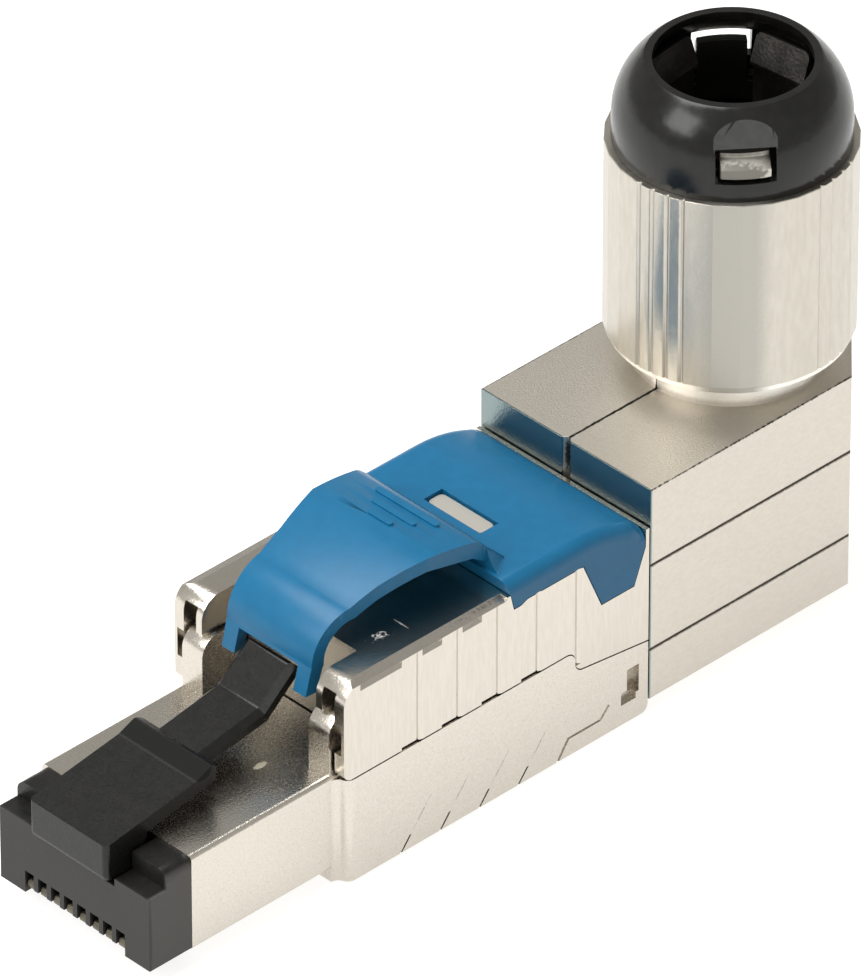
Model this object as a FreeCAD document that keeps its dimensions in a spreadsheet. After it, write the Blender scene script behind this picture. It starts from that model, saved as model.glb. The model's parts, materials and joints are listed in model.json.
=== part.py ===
import FreeCAD, Part
import math
import os
import re
import Sketcher

# Right-angled, field-fitted eight-way data plug, modelled in its own frame in millimetres.
# +X runs from the nose to the cable elbow, +Z along the cable outlet, and y = 0 is the mid-plane.
# Sketches count x from the front face of the nose and z from the flat underside of the body.
# Each sub-part is then placed so that the origin is at the bottom centre of the whole plug.

SIZES = {
    "nose_width": (11.7, "plug nose over its sides, the standard eight-way plug width"),
    "nose_length": (13.3, "front face of the nose to the front of the body"),
    "nose_floor": (0.79, "underside of the nose above the underside of the body"),
    "nose_top": (7.01, "upper face of the nose"),
    "shield_wall": (0.4, "wall of the metal nose shield"),
    "shield_gap": (0.06, "clearance of the carrier inside the shield"),
    "shield_round": (0.3, "rounding of the long edges of the shield"),
    "cap_length": (3.1, "black front of the carrier, ahead of the shield"),
    "cap_floor": (1.0, "underside of the black front"),
    "cap_top": (6.9, "shoulders of the black front"),
    "brow_top": (5.75, "lower step at the front of the shoulders"),
    "brow_depth": (1.3, "length of that lower step"),
    "cap_round": (0.7, "rounding of the shoulders"),
    "carrier_rear": (12.3, "rear end of the carrier inside the shield"),
    "pin_pitch": (1.02, "contact pitch, standard for this plug"),
    "slot_width": (0.68, "contact slot in the carrier"),
    "slot_top": (2.45, "roof of the slot at the front"),
    "slot_step": (4.8, "where the slot rises to the tail of the contact"),
    "comb_rise": (0.45, "ribs between the slots end this much above the cap floor"),
    "comb_depth": (0.7, "length of that step in the ribs"),
    "blade_width": (0.56, "thickness of a contact blade"),
    "blade_gap": (0.1, "clearance round a contact in its slot"),
    "toe_radius": (0.33, "rounded toe of a contact"),
    "toe_set": (0.12, "toe behind the front face"),
    "blade_floor": (1.17, "lower edge of a contact blade"),
    "blade_riser": (0.65, "length of the riser of a contact"),
    "blade_window": (6.6, "rear end of the opening under the contacts"),
    "tail_top": (3.6, "upper face of the contact tails, which carry the board"),
    "tail_thick": (0.4, "height of a contact tail"),
    "tail_rear": (14.2, "rear end of the contact tails"),
    "latch_width": (6.0, "wide part of the latch lever, standard"),
    "latch_gap": (0.16, "clearance at each side of the latch lever"),
    "latch_proud": (0.45, "front of the latch ahead of the nose"),
    "latch_lip": (5.45, "lower edge of the latch at the front"),
    "latch_front": (7.95, "top of the latch at the front"),
    "latch_land": (6.1, "rear end of the flat top of the latch"),
    "latch_land_top": (8.9, "height of the latch there"),
    "latch_hump": (7.25, "crest of the locking shoulder"),
    "latch_hump_top": (9.38, "height of that crest"),
    "latch_crest": (0.3, "rounding of that crest"),
    "latch_corner": (0.3, "rounded corners of the wide part in plan"),
    "latch_thick": (1.15, "thickness of the latch arm"),
    "latch_round": (0.5, "rounded lower front edge of the latch"),
    "latch_root": (2.4, "length of the root of the latch in its pocket"),
    "pocket_floor": (5.25, "floor of the latch pocket in the carrier"),
    "tail_width": (3.7, "narrow tail of the latch"),
    "tail_start": (7.75, "front of the narrow tail"),
    "tail_start_top": (9.18, "top of the tail there"),
    "tail_bend": (12.1, "bend of the tail"),
    "tail_bend_top": (9.93, "top of the tail at the bend"),
    "tail_end": (14.42, "end of the tail"),
    "tail_end_top": (11.9, "top of the end of the tail"),
    "tail_depth": (0.85, "thickness of the tail"),
    "tail_bevel": (0.35, "bevel along the top of the tail"),
    "body_width": (13.2, "body, cover and elbow over their sides"),
    "body_length": (23.1, "body from its front to its rear"),
    "body_wall": (1.1, "side wall of the base"),
    "body_floor": (1.0, "floor of the base"),
    "ledge_inner": (4.6, "inner face of the ledges that carry the board"),
    "body_flare": (1.05, "length of the flare from the nose to the body"),
    "flare_round": (0.56, "radius of the two curves of the flare"),
    "body_rear_wall": (1.1, "rear wall of base and cover"),
    "body_heel": (0.5, "rounding of the rear lower edge"),
    "seam_top": (6.8, "seam of base and cover along the side"),
    "seam_gap": (0.09, "gap in that seam"),
    "seam_drop": (6.2, "seam starts to drop, ahead of the rear of the body"),
    "seam_curve": (0.65, "radius of the two curves of the drop"),
    "seam_low": (5.35, "seam at the foot of the drop"),
    "seam_rear": (4.72, "seam at the rear end"),
    "lug_inner": (4.15, "inner face of a hinge lug from the mid-plane"),
    "lug_outer": (5.72, "outer face of a hinge lug"),
    "lug_top": (10.7, "top of a hinge lug"),
    "lug_length": (3.0, "length of a hinge lug"),
    "lug_round": (1.2, "rounded top of a hinge lug"),
    "lug_gap": (0.12, "clearance of a lug in its bay"),
    "pin_radius": (0.8, "stub pin at the side of a lug"),
    "pin_length": (0.55, "length of a stub pin"),
    "pin_height": (9.45, "height of the stub pins"),
    "pin_back": (1.75, "stub pins behind the front of the body"),
    "slash_pitch": (2.93, "pitch of the slanted marks low on the side"),
    "slash_first": (4.4, "first slanted mark behind the front of the body"),
    "slash_rise": (1.8, "height of a slanted mark"),
    "slash_lean": (1.45, "lean of a slanted mark"),
    "slash_width": (0.15, "width of a slanted mark"),
    "slash_depth": (0.1, "depth of a slanted mark"),
    "crank_run": (1.0, "run of the first slope of the cranked line"),
    "slot_rear": (0.7, "catch slot from the rear of the body"),
    "slot_long": (0.9, "length of the catch slot"),
    "slot_foot": (1.72, "foot of the catch slot"),
    "slot_high": (1.8, "height of the catch slot"),
    "slot_deep": (0.7, "depth of the catch slot"),
    "cover_set": (0.28, "cover behind the front of the base"),
    "cover_top": (13.0, "flat top of the cover"),
    "cover_round": (1.3, "rounded front top corner of the cover"),
    "cover_toe": (0.6, "rounded front lower corner of the cover"),
    "cover_wall": (0.73, "thin side wall of the cover beside the lugs"),
    "cover_side": (1.45, "side wall of the cover behind the lugs"),
    "bevel_width": (0.6, "slanted strip along each upper edge of the cover"),
    "bevel_drop": (0.2, "fall of that strip"),
    "roof_thick": (0.9, "thickness of the roof of the cover"),
    "roof_front": (3.3, "front edge of the roof behind the front of the body"),
    "front_wall": (0.9, "front wall of the cover"),
    "ear_inner": (4.9, "inner face of the hollow in an ear"),
    "ear_deep": (2.4, "depth of that hollow behind the front of the body"),
    "ear_skin": (0.65, "roof of that hollow"),
    "channel_half": (4.45, "half width of the channel for the tab"),
    "grip_pitch": (2.97, "pitch of the grip lines on the side of the cover"),
    "grip_first": (5.85, "first grip line behind the front of the body"),
    "grip_width": (0.24, "width of a grip line"),
    "grip_depth": (0.1, "depth of a grip line"),
    "scoop_start": (1.5, "first scoop in the roof edge behind the front of the body"),
    "scoop_length": (1.45, "length of a scoop behind a grip line"),
    "scoop_deep": (0.25, "depth of a scoop"),
    "scoop_high": (0.42, "height of a scoop"),
    "nick_length": (1.3, "length of a nick in the seam ahead of a grip line"),
    "nick_size": (0.18, "width and height of a nick"),
    "rim_length": (0.25, "upstanding rim at the rear of the cover"),
    "catch_length": (1.15, "catch of the cover in the clip window"),
    "catch_half": (2.08, "half width of the catch"),
    "catch_rise": (0.68, "catch above the cover under the clip"),
    "catch_front": (14.75, "front of the catch behind the front of the body"),
    "catch_gap": (0.12, "clearance of the catch in the window"),
    "catch_round": (0.3, "rounded corners of the catch in plan"),
    "clip_front": (12.45, "upper front edge of the clip behind the front of the body"),
    "clip_skin": (0.8, "thickness of the clip over the cover"),
    "clip_gap": (0.05, "clearance between clip and cover"),
    "clip_slant": (0.5, "front edge of the clip leans by this much"),
    "clip_side": (0.72, "thickness of the clip at the sides"),
    "clip_round": (0.85, "rounding from the top of the clip to its sides"),
    "clip_fall": (0.82, "clip drops by this much to its knee"),
    "clip_rear_fall": (1.6, "clip drops by this much to its rear edge"),
    "clip_bend": (5.1, "top of the clip starts to drop, ahead of the rear of the body"),
    "clip_bend_radius": (9.0, "radius of that drop"),
    "clip_knee": (1.4, "knee of the clip, ahead of the rear of the body"),
    "clip_rear_radius": (2.2, "radius behind the knee"),
    "skirt_low": (12.2, "lower edge of the skirt of the clip"),
    "skirt_tip": (0.2, "lower front corner of the skirt below its edge"),
    "hook_front": (4.95, "upper front corner of the hook, ahead of the rear of the body"),
    "hook_tip": (3.55, "lower front corner of the hook"),
    "hook_heel": (1.1, "lower rear corner of the hook"),
    "hook_low": (8.95, "lower edge of the hook"),
    "hook_back": (11.2, "where the rear of the hook turns upright"),
    "ridge_x": (12.1, "crest of the ridge behind the front of the body"),
    "ridge_top": (15.84, "height of the crest"),
    "crest_round": (1.4, "rounding of the crest"),
    "flank_foot": (14.1, "foot of the rear flank of the ridge"),
    "tab_thick": (0.85, "thickness of the tab"),
    "tab_root_half": (4.64, "half width of the tab at the ridge"),
    "tab_crown_half": (4.45, "half width at the highest bend"),
    "tab_neck_half": (3.75, "half width where the tab has narrowed"),
    "tab_slope_half": (3.5, "half width at the front bend"),
    "tab_tip_half": (3.26, "half width of the tab at its tips"),
    "tab_neck": (5.5, "where the tab has narrowed, behind the front of the body"),
    "tab_crown": (8.5, "highest bend of the tab behind the front of the body"),
    "tab_crown_top": (16.42, "height of that bend"),
    "tab_slope": (3.7, "front bend of the tab"),
    "tab_slope_top": (15.1, "height of the front bend"),
    "tab_slope_radius": (2.85, "radius from the front bend to the front edge"),
    "tab_back_radius": (17.0, "radius of the long back of the tab"),
    "tab_nose": (1.05, "front edge of the tab behind the front of the body"),
    "tab_nose_foot": (12.12, "lower edge of the tab between the prongs"),
    "prong_foot": (10.62, "lower end of the prongs"),
    "prong_front": (0.62, "front of the prongs at their lower end"),
    "prong_half": (2.3, "half width of the notch between the prongs"),
    "flex_gap": (0.12, "cut at the flex line of the tab"),
    "flex_back": (0.55, "flex line behind the crest"),
    "bar_first": (11.3, "grip bar next to the crest, behind the front of the body"),
    "bar_pitch": (1.0, "pitch of the three grip bars"),
    "bar_half": (2.4, "half length of the longest grip bar"),
    "bar_step": (0.75, "each grip bar is shorter than the last by this much at each end"),
    "bar_width": (0.4, "width of a grip bar"),
    "bar_rise": (0.36, "top of the first grip bar above the crest"),
    "bar_climb": (0.16, "each grip bar is higher than the last by this much"),
    "elbow_gap": (0.1, "elbow behind the body"),
    "elbow_floor": (0.69, "underside of the elbow"),
    "elbow_top": (14.68, "top of the elbow block"),
    "outlet_reach": (12.5, "cable outlet axis behind the front of the elbow"),
    "elbow_back": (6.8, "rear of the elbow behind the outlet axis"),
    "elbow_corner": (6.7, "slanted rear corners from the outlet axis"),
    "split_gap": (0.06, "gap between the two elbow halves"),
    "split_bevel": (0.35, "notch at the front top of the split"),
    "line_depth": (0.13, "depth of the fine lines round the elbow"),
    "line_height": (0.16, "width of those lines"),
    "line_upper": (9.6, "upper line"),
    "line_lower": (3.95, "lower line"),
    "neck_axis": (6.4, "height of the cable passage from body to elbow"),
    "neck_radius": (4.0, "neck of the elbow in the rear wall of the body"),
    "neck_bore": (3.3, "bore of that neck"),
    "neck_gap": (0.08, "clearance round the neck"),
    "flange_radius": (4.6, "flange that holds the elbow in the body"),
    "flange_length": (0.8, "thickness of that flange"),
    "chamber_radius": (4.9, "upright cable chamber in the elbow"),
    "chamber_floor": (2.2, "floor of that chamber"),
    "nut_wall": (1.2, "wall of the nut round its thread bore"),
    "collar_wall": (1.2, "wall of the threaded collar"),
    "collar_top": (23.0, "top of the collar"),
    "collar_bevel": (0.4, "bevel at the top of the collar"),
    "nut_floor": (16.8, "lower end of the ribs and facets of the nut"),
    "nut_foot": (16.38, "underside of the turned foot of the nut"),
    "foot_set": (0.22, "foot of the nut inside its corners"),
    "nut_top": (28.85, "top of the nut, where the dome sits"),
    "nut_radius": (7.0, "nut over its corners"),
    "nut_gap": (0.2, "nut round the collar"),
    "nut_groove": (0.16, "depth of the grooves between the ribs"),
    "nut_rib_turn": (11.0, "direction of the first group of ribs"),
    "nut_rib_angle": (7.8, "angle of one rib"),
    "nut_groups": (4, "groups of ribs round the nut"),
    "nut_ribs": (3, "ribs in a group"),
    "nut_facets": (5, "plain facets between two groups"),
    "nut_lip": (1.25, "thickness of the inner lip at the top of the nut"),
    "nut_lip_width": (1.8, "lip at the top of the nut, from its outside to its hole"),
    "chamber_wall": (0.8, "wall of the nut round the chamber of the jaw cage"),
    "cage_floor": (24.4, "floor of that chamber"),
    "tongue_half": (1.38, "half width of an upstanding tongue"),
    "tongue_thick": (0.54, "thickness of a tongue"),
    "tongue_top": (31.5, "top of the tongues"),
    "tongue_turn": (51.7, "direction of the tongues"),
    "lug_shy": (0.1, "locking lugs end this much inside the outside of the dome"),
    "lug_foot": (30.25, "lower edge of the locking lugs"),
    "lug_face": (0.57, "height of the upright face of a locking lug"),
    "lug_slope": (0.44, "height of the slanted face above it"),
    "dome_step": (0.4, "dome narrower than the nut at each side"),
    "dome_wall": (0.62, "wall of the dome"),
    "dome_gap": (0.02, "dome above the nut"),
    "dome_side": (1.4, "upright part of the dome"),
    "dome_height": (5.0, "height of the dome"),
    "dome_curve": (4.6, "radius of the shoulder of the dome"),
    "dome_fall_in": (1.74, "outer edge of the lip, inside the foot of the dome"),
    "dome_knee": (0.4, "inner wall at its knee, inside its upright part"),
    "dome_knee_height": (3.1, "knee of the inner wall above the nut"),
    "dome_lip": (2.2, "cable opening, inside the foot of the dome"),
    "mouth_land": (0.45, "length of the narrowest part of the opening"),
    "window_half": (1.66, "half width of a dome window"),
    "window_foot": (30.0, "lower edge of a dome window"),
    "window_top": (31.95, "upper edge of a dome window"),
    "recess_half": (1.74, "half width of the slanted flat above a window"),
    "recess_deep": (0.55, "lower end of that flat, inside the foot of the dome"),
    "recess_lean": (0.7, "that flat leans inward by this much"),
    "recess_top": (33.4, "upper end of that flat"),
    "jaw_gap": (0.22, "cage and fingers inside the hole of the nut"),
    "jaw_top": (32.5, "top of the fingers of the jaw cage"),
    "jaw_root": (27.5, "foot of those fingers"),
    "finger_half": (1.83, "half width of a finger"),
    "finger_thick": (0.5, "thickness of a finger below its gripping face"),
    "finger_tip": (0.17, "thickness of a finger at its tip"),
    "finger_face": (1.7, "height of the slanted gripping face"),
    "finger_lean": (0.62, "gripping face leans outward by this much"),
    "finger_edge": (0.2, "upright edge below the gripping face"),
    "finger_round": (0.4, "rounded top corners of a finger"),
    "cage_side": (0.25, "clearance round the flange of the jaw cage"),
    "cage_gap": (0.3, "cage flange above its floor and below the lip"),
    "board_thick": (0.8, "circuit board"),
    "board_front": (12.4, "front edge of the board"),
    "board_rear": (25.6, "rear edge of the board"),
    "board_half": (5.0, "half width of the board behind the nose"),
    "block_front": (18.6, "front of the terminal block"),
    "block_rear": (25.2, "rear of the terminal block"),
    "block_half": (4.7, "half width of the terminal block"),
    "block_height": (2.6, "height of the terminal block"),
    "idc_pitch": (2.2, "pitch of the wire terminals in a row"),
    "idc_rows": (3.6, "distance between the two rows"),
    "idc_thick": (0.35, "thickness of a wire terminal"),
    "idc_width": (1.5, "width of a wire terminal"),
    "idc_height": (3.3, "height of a wire terminal above the board"),
    "idc_slit": (0.45, "slit that takes the wire"),
    "idc_gap": (0.1, "clearance round a wire terminal"),
    "manager_gap": (0.1, "wire manager above the terminal block"),
    "manager_slot": (2.6, "depth of the wire channel in the wire manager"),
    "manager_bore": (2.6, "cable hole of the wire manager"),
    "manager_apron": (1.6, "rear apron of the wire manager"),
}

BODY_REAR = "(nose_length + body_length)"
BODY_HALF = "(body_width / 2)"
ELBOW_FRONT = "(nose_length + body_length + elbow_gap)"
OUTLET = "(nose_length + body_length + elbow_gap + outlet_reach)"
CLIP_TOP = "(cover_top + clip_gap + clip_skin)"
NUT_BORE = "(nut_radius - nut_wall)"
COLLAR = "(nut_radius - nut_wall - nut_gap)"
NUT_HOLE = "(nut_radius - nut_lip_width)"
DOME = "(nut_radius - dome_step)"
MIDDLE = "((nose_length + body_length + elbow_gap + outlet_reach + elbow_back - latch_proud) / 2)"
ROLE = {"XY": "XY_Plane", "XZ": "XZ_Plane", "YZ": "YZ_Plane"}

doc = FreeCAD.newDocument("plug")
sheet = doc.addObject("Spreadsheet::Sheet", "sizes")
for row, (name, (size, note)) in enumerate(SIZES.items(), start=1):
    sheet.set(f"A{row}", name)
    sheet.set(f"B{row}", str(size))
    sheet.setAlias(f"B{row}", name)
    sheet.set(f"C{row}", note)
doc.recompute()


def bound(text):
    """The expression with each size name pointing at its cell of the sheet."""
    return re.sub(r"[a-z][a-z_]*", lambda word: "sizes." + word[0] if word[0] in SIZES else word[0], text)


def number(text):
    """The present value of an expression of size names."""
    return float(sheet.evalExpression(bound(text).replace("sizes.", "")))


def new_body(label, x="0", y="0", turn="0"):
    """A sub-part of the plug; x and y shift it within the plug and turn is its angle about its upright axis."""
    body = doc.addObject("PartDesign::Body", label)
    body.Label = label
    body.Placement.Rotation = FreeCAD.Rotation(FreeCAD.Vector(0, 0, 1), 0)
    body.setExpression("Placement.Rotation.Angle", bound(turn))
    body.setExpression("Placement.Base.x", bound(f"({x}) - {MIDDLE}"))
    body.setExpression("Placement.Base.y", bound(y))
    return body


def add_circle(sketch, centre, radius):
    """A circle whose centre and radius are bound to the sheet."""
    middle = FreeCAD.Vector(number(centre[0]), number(centre[1]), 0)
    geometry = sketch.addGeometry(Part.Circle(middle, FreeCAD.Vector(0, 0, 1), number(radius)))
    limits = (("Radius", (geometry,), radius), ("DistanceX", (geometry, 3), centre[0]),
              ("DistanceY", (geometry, 3), centre[1]))
    for kind, place, text in limits:
        index = sketch.addConstraint(Sketcher.Constraint(kind, *place, number(text)))
        sketch.setExpression(f"Constraints[{index}]", bound(text))


def arc_between(start, end, radius):
    """Arc from start to end, counter-clockwise for a positive radius and clockwise for a negative one."""
    chord = end - start
    middle = (start + end) * 0.5
    reach = math.sqrt(max(radius * radius - chord.Length ** 2 / 4, 0.0))
    side = FreeCAD.Vector(-chord.y, chord.x, 0).normalize()
    centre = middle + side * (reach if radius > 0 else -reach)
    first, last = (start, end) if radius > 0 else (end, start)
    angles = [math.atan2(point.y - centre.y, point.x - centre.x) for point in (first, last)]
    circle = Part.Circle(centre, FreeCAD.Vector(0, 0, 1), abs(radius))
    return Part.ArcOfCircle(circle, *angles)


def add_loop(sketch, corners):
    """A closed outline. A corner is (x, y), or (x, y, radius) where the side after it is an arc.

    Each corner is held by its two distances from the origin, and each arc by its radius as well.
    """
    points = [FreeCAD.Vector(number(corner[0]), number(corner[1]), 0) for corner in corners]
    sides = []
    for index, corner in enumerate(corners):
        start, end = points[index], points[(index + 1) % len(points)]
        radius = number(corner[2]) if len(corner) == 3 else 0.0
        shape = arc_between(start, end, radius) if radius else Part.LineSegment(start, end)
        sides.append((sketch.addGeometry(shape), 2 if radius < 0 else 1, 1 if radius < 0 else 2))
    for index, corner in enumerate(corners):
        geometry, start, end = sides[index]
        following = sides[(index + 1) % len(sides)]
        sketch.addConstraint(Sketcher.Constraint("Coincident", geometry, end, following[0], following[1]))
        for kind, text in (("DistanceX", corner[0]), ("DistanceY", corner[1])):
            held = sketch.addConstraint(Sketcher.Constraint(kind, geometry, start, number(text)))
            sketch.setExpression(f"Constraints[{held}]", bound(text))
        if len(corner) == 3:
            size = corner[2].lstrip("-")
            held = sketch.addConstraint(Sketcher.Constraint("Radius", geometry, number(size)))
            sketch.setExpression(f"Constraints[{held}]", bound(size))


def new_sketch(body, plane, loops, lift="0", shift="0"):
    """A sketch on one of the body's own planes; lift raises it and shift moves it along its own x."""
    sketch = body.newObject("Sketcher::SketchObject", body.Label + "_sketch")
    support = [item for item in body.Origin.OriginFeatures if item.Role == ROLE[plane]]
    sketch.AttachmentSupport = [(support[0], "")]
    sketch.MapMode = "FlatFace"
    sketch.setExpression("AttachmentOffset.Base.z", bound(lift))
    sketch.setExpression("AttachmentOffset.Base.x", bound(shift))
    for loop in loops:
        if loop[0] == "circle":
            add_circle(sketch, loop[1:3], loop[3])
        else:
            add_loop(sketch, loop)
    return sketch


def check_volume(body, before, adds):
    """Stop where a feature changed nothing, or changed the solid the wrong way."""
    doc.recompute()
    after = body.Shape.Volume
    if (after - before) * (1 if adds else -1) <= 1e-6:
        raise RuntimeError(f"{body.Label}: {body.Tip.Label} changed the volume from {before} to {after}")


def extrude(body, kind, plane, loops, start, stop=None):
    """Pad or Pocket of the loops from start to stop along the plane's axis.

    With no stop, start is the whole width and the feature is symmetric about the plane.
    The xz plane's normal points along -Y, so its sketch lies at stop and the feature runs back to start.
    """
    before = body.Shape.Volume if body.Tip else 0.0
    lift = "0" if stop is None else (f"-({stop})" if plane == "XZ" else start)
    sketch = new_sketch(body, plane, loops, lift)
    feature = body.newObject("PartDesign::" + kind, body.Label + "_" + kind.lower())
    feature.Profile = sketch
    if stop is None:
        feature.SideType = "Symmetric"
        feature.setExpression("Length", bound(start))
    else:
        feature.setExpression("Length", bound(f"({stop}) - ({start})"))
        feature.Reversed = kind == "Pocket"
    check_volume(body, before, kind == "Pad")
    return feature


def both_sides(body, kind, loops, inner, outer):
    """The same pad or pocket of an xz outline at each side of the mid-plane."""
    extrude(body, kind, "XZ", loops, inner, outer)
    extrude(body, kind, "XZ", loops, f"-({outer})", f"-({inner})")


def spin(body, kind, loops, axis):
    """Revolution or Groove about the upright axis at x = axis; the outline's x is the radius."""
    before = body.Shape.Volume if body.Tip else 0.0
    sketch = new_sketch(body, "XZ", loops, "0", axis)
    feature = body.newObject("PartDesign::" + kind, body.Label + "_" + kind.lower())
    feature.Profile = sketch
    feature.ReferenceAxis = (sketch, ["V_Axis"])
    feature.Angle = 360
    check_volume(body, before, kind == "Revolution")
    return feature


def repeat(body, feature, axis, pitch, count):
    """Linear pattern of a feature along one of the body's axes."""
    before = body.Shape.Volume
    pattern = body.newObject("PartDesign::LinearPattern", body.Label + "_pattern")
    pattern.Originals = [feature]
    line = [item for item in body.Origin.OriginFeatures if item.Role == axis + "_Axis"]
    pattern.Direction = (line[0], [""])
    pattern.Mode = "Spacing"
    pattern.setExpression("Offset", bound(pitch))
    pattern.Occurrences = count
    body.Tip = pattern
    check_volume(body, before, feature.TypeId.endswith("Pad"))


def soften(body, kind, size, test):
    """Fillet or Chamfer of the edges whose two ends pass the test."""
    before = body.Shape.Volume
    place = body.Placement.inverse()
    edges = []
    for number_of, edge in enumerate(body.Shape.Edges, start=1):
        ends = [place.multVec(vertex.Point) for vertex in edge.Vertexes]
        if len(ends) == 2 and test(*ends):
            edges.append(f"Edge{number_of}")
    last = body.Tip
    feature = body.newObject("PartDesign::" + kind, body.Label + "_" + kind.lower())
    feature.Base = (last, edges)
    feature.setExpression("Radius" if kind == "Fillet" else "Size", bound(size))
    body.Tip = feature
    check_volume(body, before, False)


def box(x_low, x_high, y_low, y_high):
    """Rectangle as a loop."""
    return [(x_low, y_low), (x_high, y_low), (x_high, y_high), (x_low, y_high)]


def rounded_box(x_low, x_high, y_low, y_high, radius):
    """Rectangle with four rounded corners as a loop."""
    return [(f"{x_low} + {radius}", y_low), (f"{x_high} - {radius}", y_low, radius),
            (x_high, f"{y_low} + {radius}"), (x_high, f"{y_high} - {radius}", radius),
            (f"{x_high} - {radius}", y_high), (f"{x_low} + {radius}", y_high, radius),
            (x_low, f"{y_high} - {radius}"), (x_low, f"{y_low} + {radius}", radius)]


def behind(name):
    """A place counted from the front of the body."""
    return f"(nose_length + {name})"


def ahead(name):
    """A place counted forward from the rear of the body."""
    return f"({BODY_REAR} - {name})"


def contact_carrier():
    """Black insulator: the visible front with its eight slots, and the block inside the shield."""
    body = new_body("contact_carrier")
    half = "nose_width / 2"
    front = [(f"-{half}", "cap_floor"), (half, "cap_floor"), (half, "cap_top - cap_round", "cap_round"),
             (f"{half} - cap_round", "cap_top"), (f"cap_round - {half}", "cap_top", "cap_round"),
             (f"-{half}", "cap_top - cap_round")]
    extrude(body, "Pad", "YZ", [front], "0", "cap_length")
    brow = box("-1", "brow_depth", "brow_top", "cap_top + 1")
    extrude(body, "Pocket", "XZ", [brow], "nose_width + 2")
    pocket = box("-1", "cap_length + 1", "pocket_floor", "cap_top + 1")
    extrude(body, "Pocket", "XZ", [pocket], "latch_width + 2 * latch_gap")
    inset = "(shield_wall + shield_gap)"
    inside = box(f"{inset} - {half}", f"{half} - {inset}", f"nose_floor + {inset}", f"nose_top - {inset}")
    extrude(body, "Pad", "YZ", [inside], "cap_length", "carrier_rear")
    slot = [("-1", "0"), ("carrier_rear + 1", "0"), ("carrier_rear + 1", "tail_top + blade_gap"),
            ("slot_step", "tail_top + blade_gap"), ("slot_step", "slot_top"), ("-1", "slot_top")]
    first = "(-3.5 * pin_pitch)"
    cut = extrude(body, "Pocket", "XZ", [slot], f"{first} - slot_width / 2", f"{first} + slot_width / 2")
    repeat(body, cut, "Y", "pin_pitch", 8)
    comb = box("-1", "comb_depth", "0", "cap_floor + comb_rise")
    extrude(body, "Pocket", "XZ", [comb], "7 * pin_pitch + slot_width")
    return body


def contact(place):
    """One gold-plated contact: rounded toe at the front, riser, and a tail under the board."""
    body = new_body(f"contact_{place}", "0", f"({place} - 4.5) * pin_pitch")
    riser = "(slot_step + blade_gap)"
    upper = "blade_floor + 2 * toe_radius"
    blade = [("toe_set", "blade_floor + toe_radius", "toe_radius"), ("toe_set + toe_radius", "blade_floor"),
             (f"{riser} + blade_riser", "blade_floor"), (f"{riser} + blade_riser", "tail_top - tail_thick"),
             ("tail_rear", "tail_top - tail_thick"), ("tail_rear", "tail_top"), (riser, "tail_top"),
             (riser, upper), ("toe_set + toe_radius", upper, "toe_radius")]
    extrude(body, "Pad", "XZ", [blade], "blade_width")
    return body


def latch_lever():
    """Latch of the plug: wide part with the locking shoulder, and the narrow kinked tail."""
    body = new_body("latch_lever")
    root = "latch_hump - latch_round"
    tail = [(root, "tail_start_top - tail_depth"),
            ("tail_bend + 0.35 * tail_depth", "tail_bend_top - tail_depth"),
            ("tail_end + 0.65 * tail_depth", "tail_end_top - 0.76 * tail_depth"),
            ("tail_end", "tail_end_top"), ("tail_bend", "tail_bend_top"), (root, "tail_start_top - 0.1")]
    extrude(body, "Pad", "XZ", [tail], "tail_width")
    stop, low = number("tail_end") + 1e-4, number("tail_start_top") - 0.11
    soften(body, "Chamfer", "tail_bevel",
           lambda start, end: abs(start.y - end.y) < 1e-4 and max(start.x, end.x) < stop
           and min(start.z, end.z) > low)
    wide = [("-latch_proud", "latch_lip + latch_round", "latch_round"),
            ("latch_round - latch_proud", "latch_lip"), ("latch_root - latch_proud", "latch_lip"),
            ("cap_length - latch_round", "latch_front - latch_round"),
            ("latch_hump", "latch_hump_top - latch_thick"), ("tail_start", "tail_start_top - tail_depth"),
            ("tail_start", "tail_start_top"), ("latch_hump", "latch_hump_top"),
            ("latch_land", "latch_land_top"), ("-latch_proud", "latch_front")]
    extrude(body, "Pad", "XZ", [wide], "latch_width")
    crest, side = number("latch_hump_top"), number("latch_width / 2")
    soften(body, "Fillet", "latch_crest",
           lambda start, end: min(start.z, end.z) > crest - 1e-4 and abs(start.y - end.y) > 1)
    front, rear = number("-latch_proud"), number("tail_start")
    soften(body, "Fillet", "latch_corner",
           lambda start, end: abs(abs(start.y) - side) < 1e-4 and abs(start.y - end.y) < 1e-4
           and abs(start.x - end.x) < 1e-4 and min(abs(start.x - front), abs(start.x - rear)) < 1e-4)
    return body


def seam(side):
    """Corners of the seam of base and cover, front to rear, moved by half the gap up or down."""
    half = f"{side} seam_gap / 2"
    return [(ahead("seam_drop"), f"seam_top {half}"),
            (ahead("(seam_drop - seam_curve)"), f"(seam_top + seam_low) / 2 {half}"),
            (ahead("(seam_drop - 2 * seam_curve)"), f"seam_low {half}"), (BODY_REAR, f"seam_rear {half}")]


def with_arc(corner, radius):
    """The corner with an arc after it."""
    return (corner[0], corner[1], radius)


def slanted_marks(body, sign):
    """Four fine grooves low on one side, each leaning to the rear as it rises."""
    line = behind("slash_first")
    before = body.Shape.Volume
    deep, outside = f"{sign}({BODY_HALF} - slash_depth)", f"{sign}({BODY_HALF} + 0.5)"
    mark = box(line, f"{line} + slash_width", deep, outside)
    cut = body.newObject("PartDesign::Pocket", body.Label + "_mark")
    cut.Profile = new_sketch(body, "XY", [mark])
    cut.UseCustomVector = True
    cut.AlongSketchNormal = True
    cut.setExpression("Direction.x", bound("slash_lean"))
    cut.setExpression("Direction.z", bound("slash_rise"))
    cut.setExpression("Length", bound("slash_rise"))
    check_volume(body, before, False)
    repeat(body, cut, "X", "slash_pitch", 4)


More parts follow.
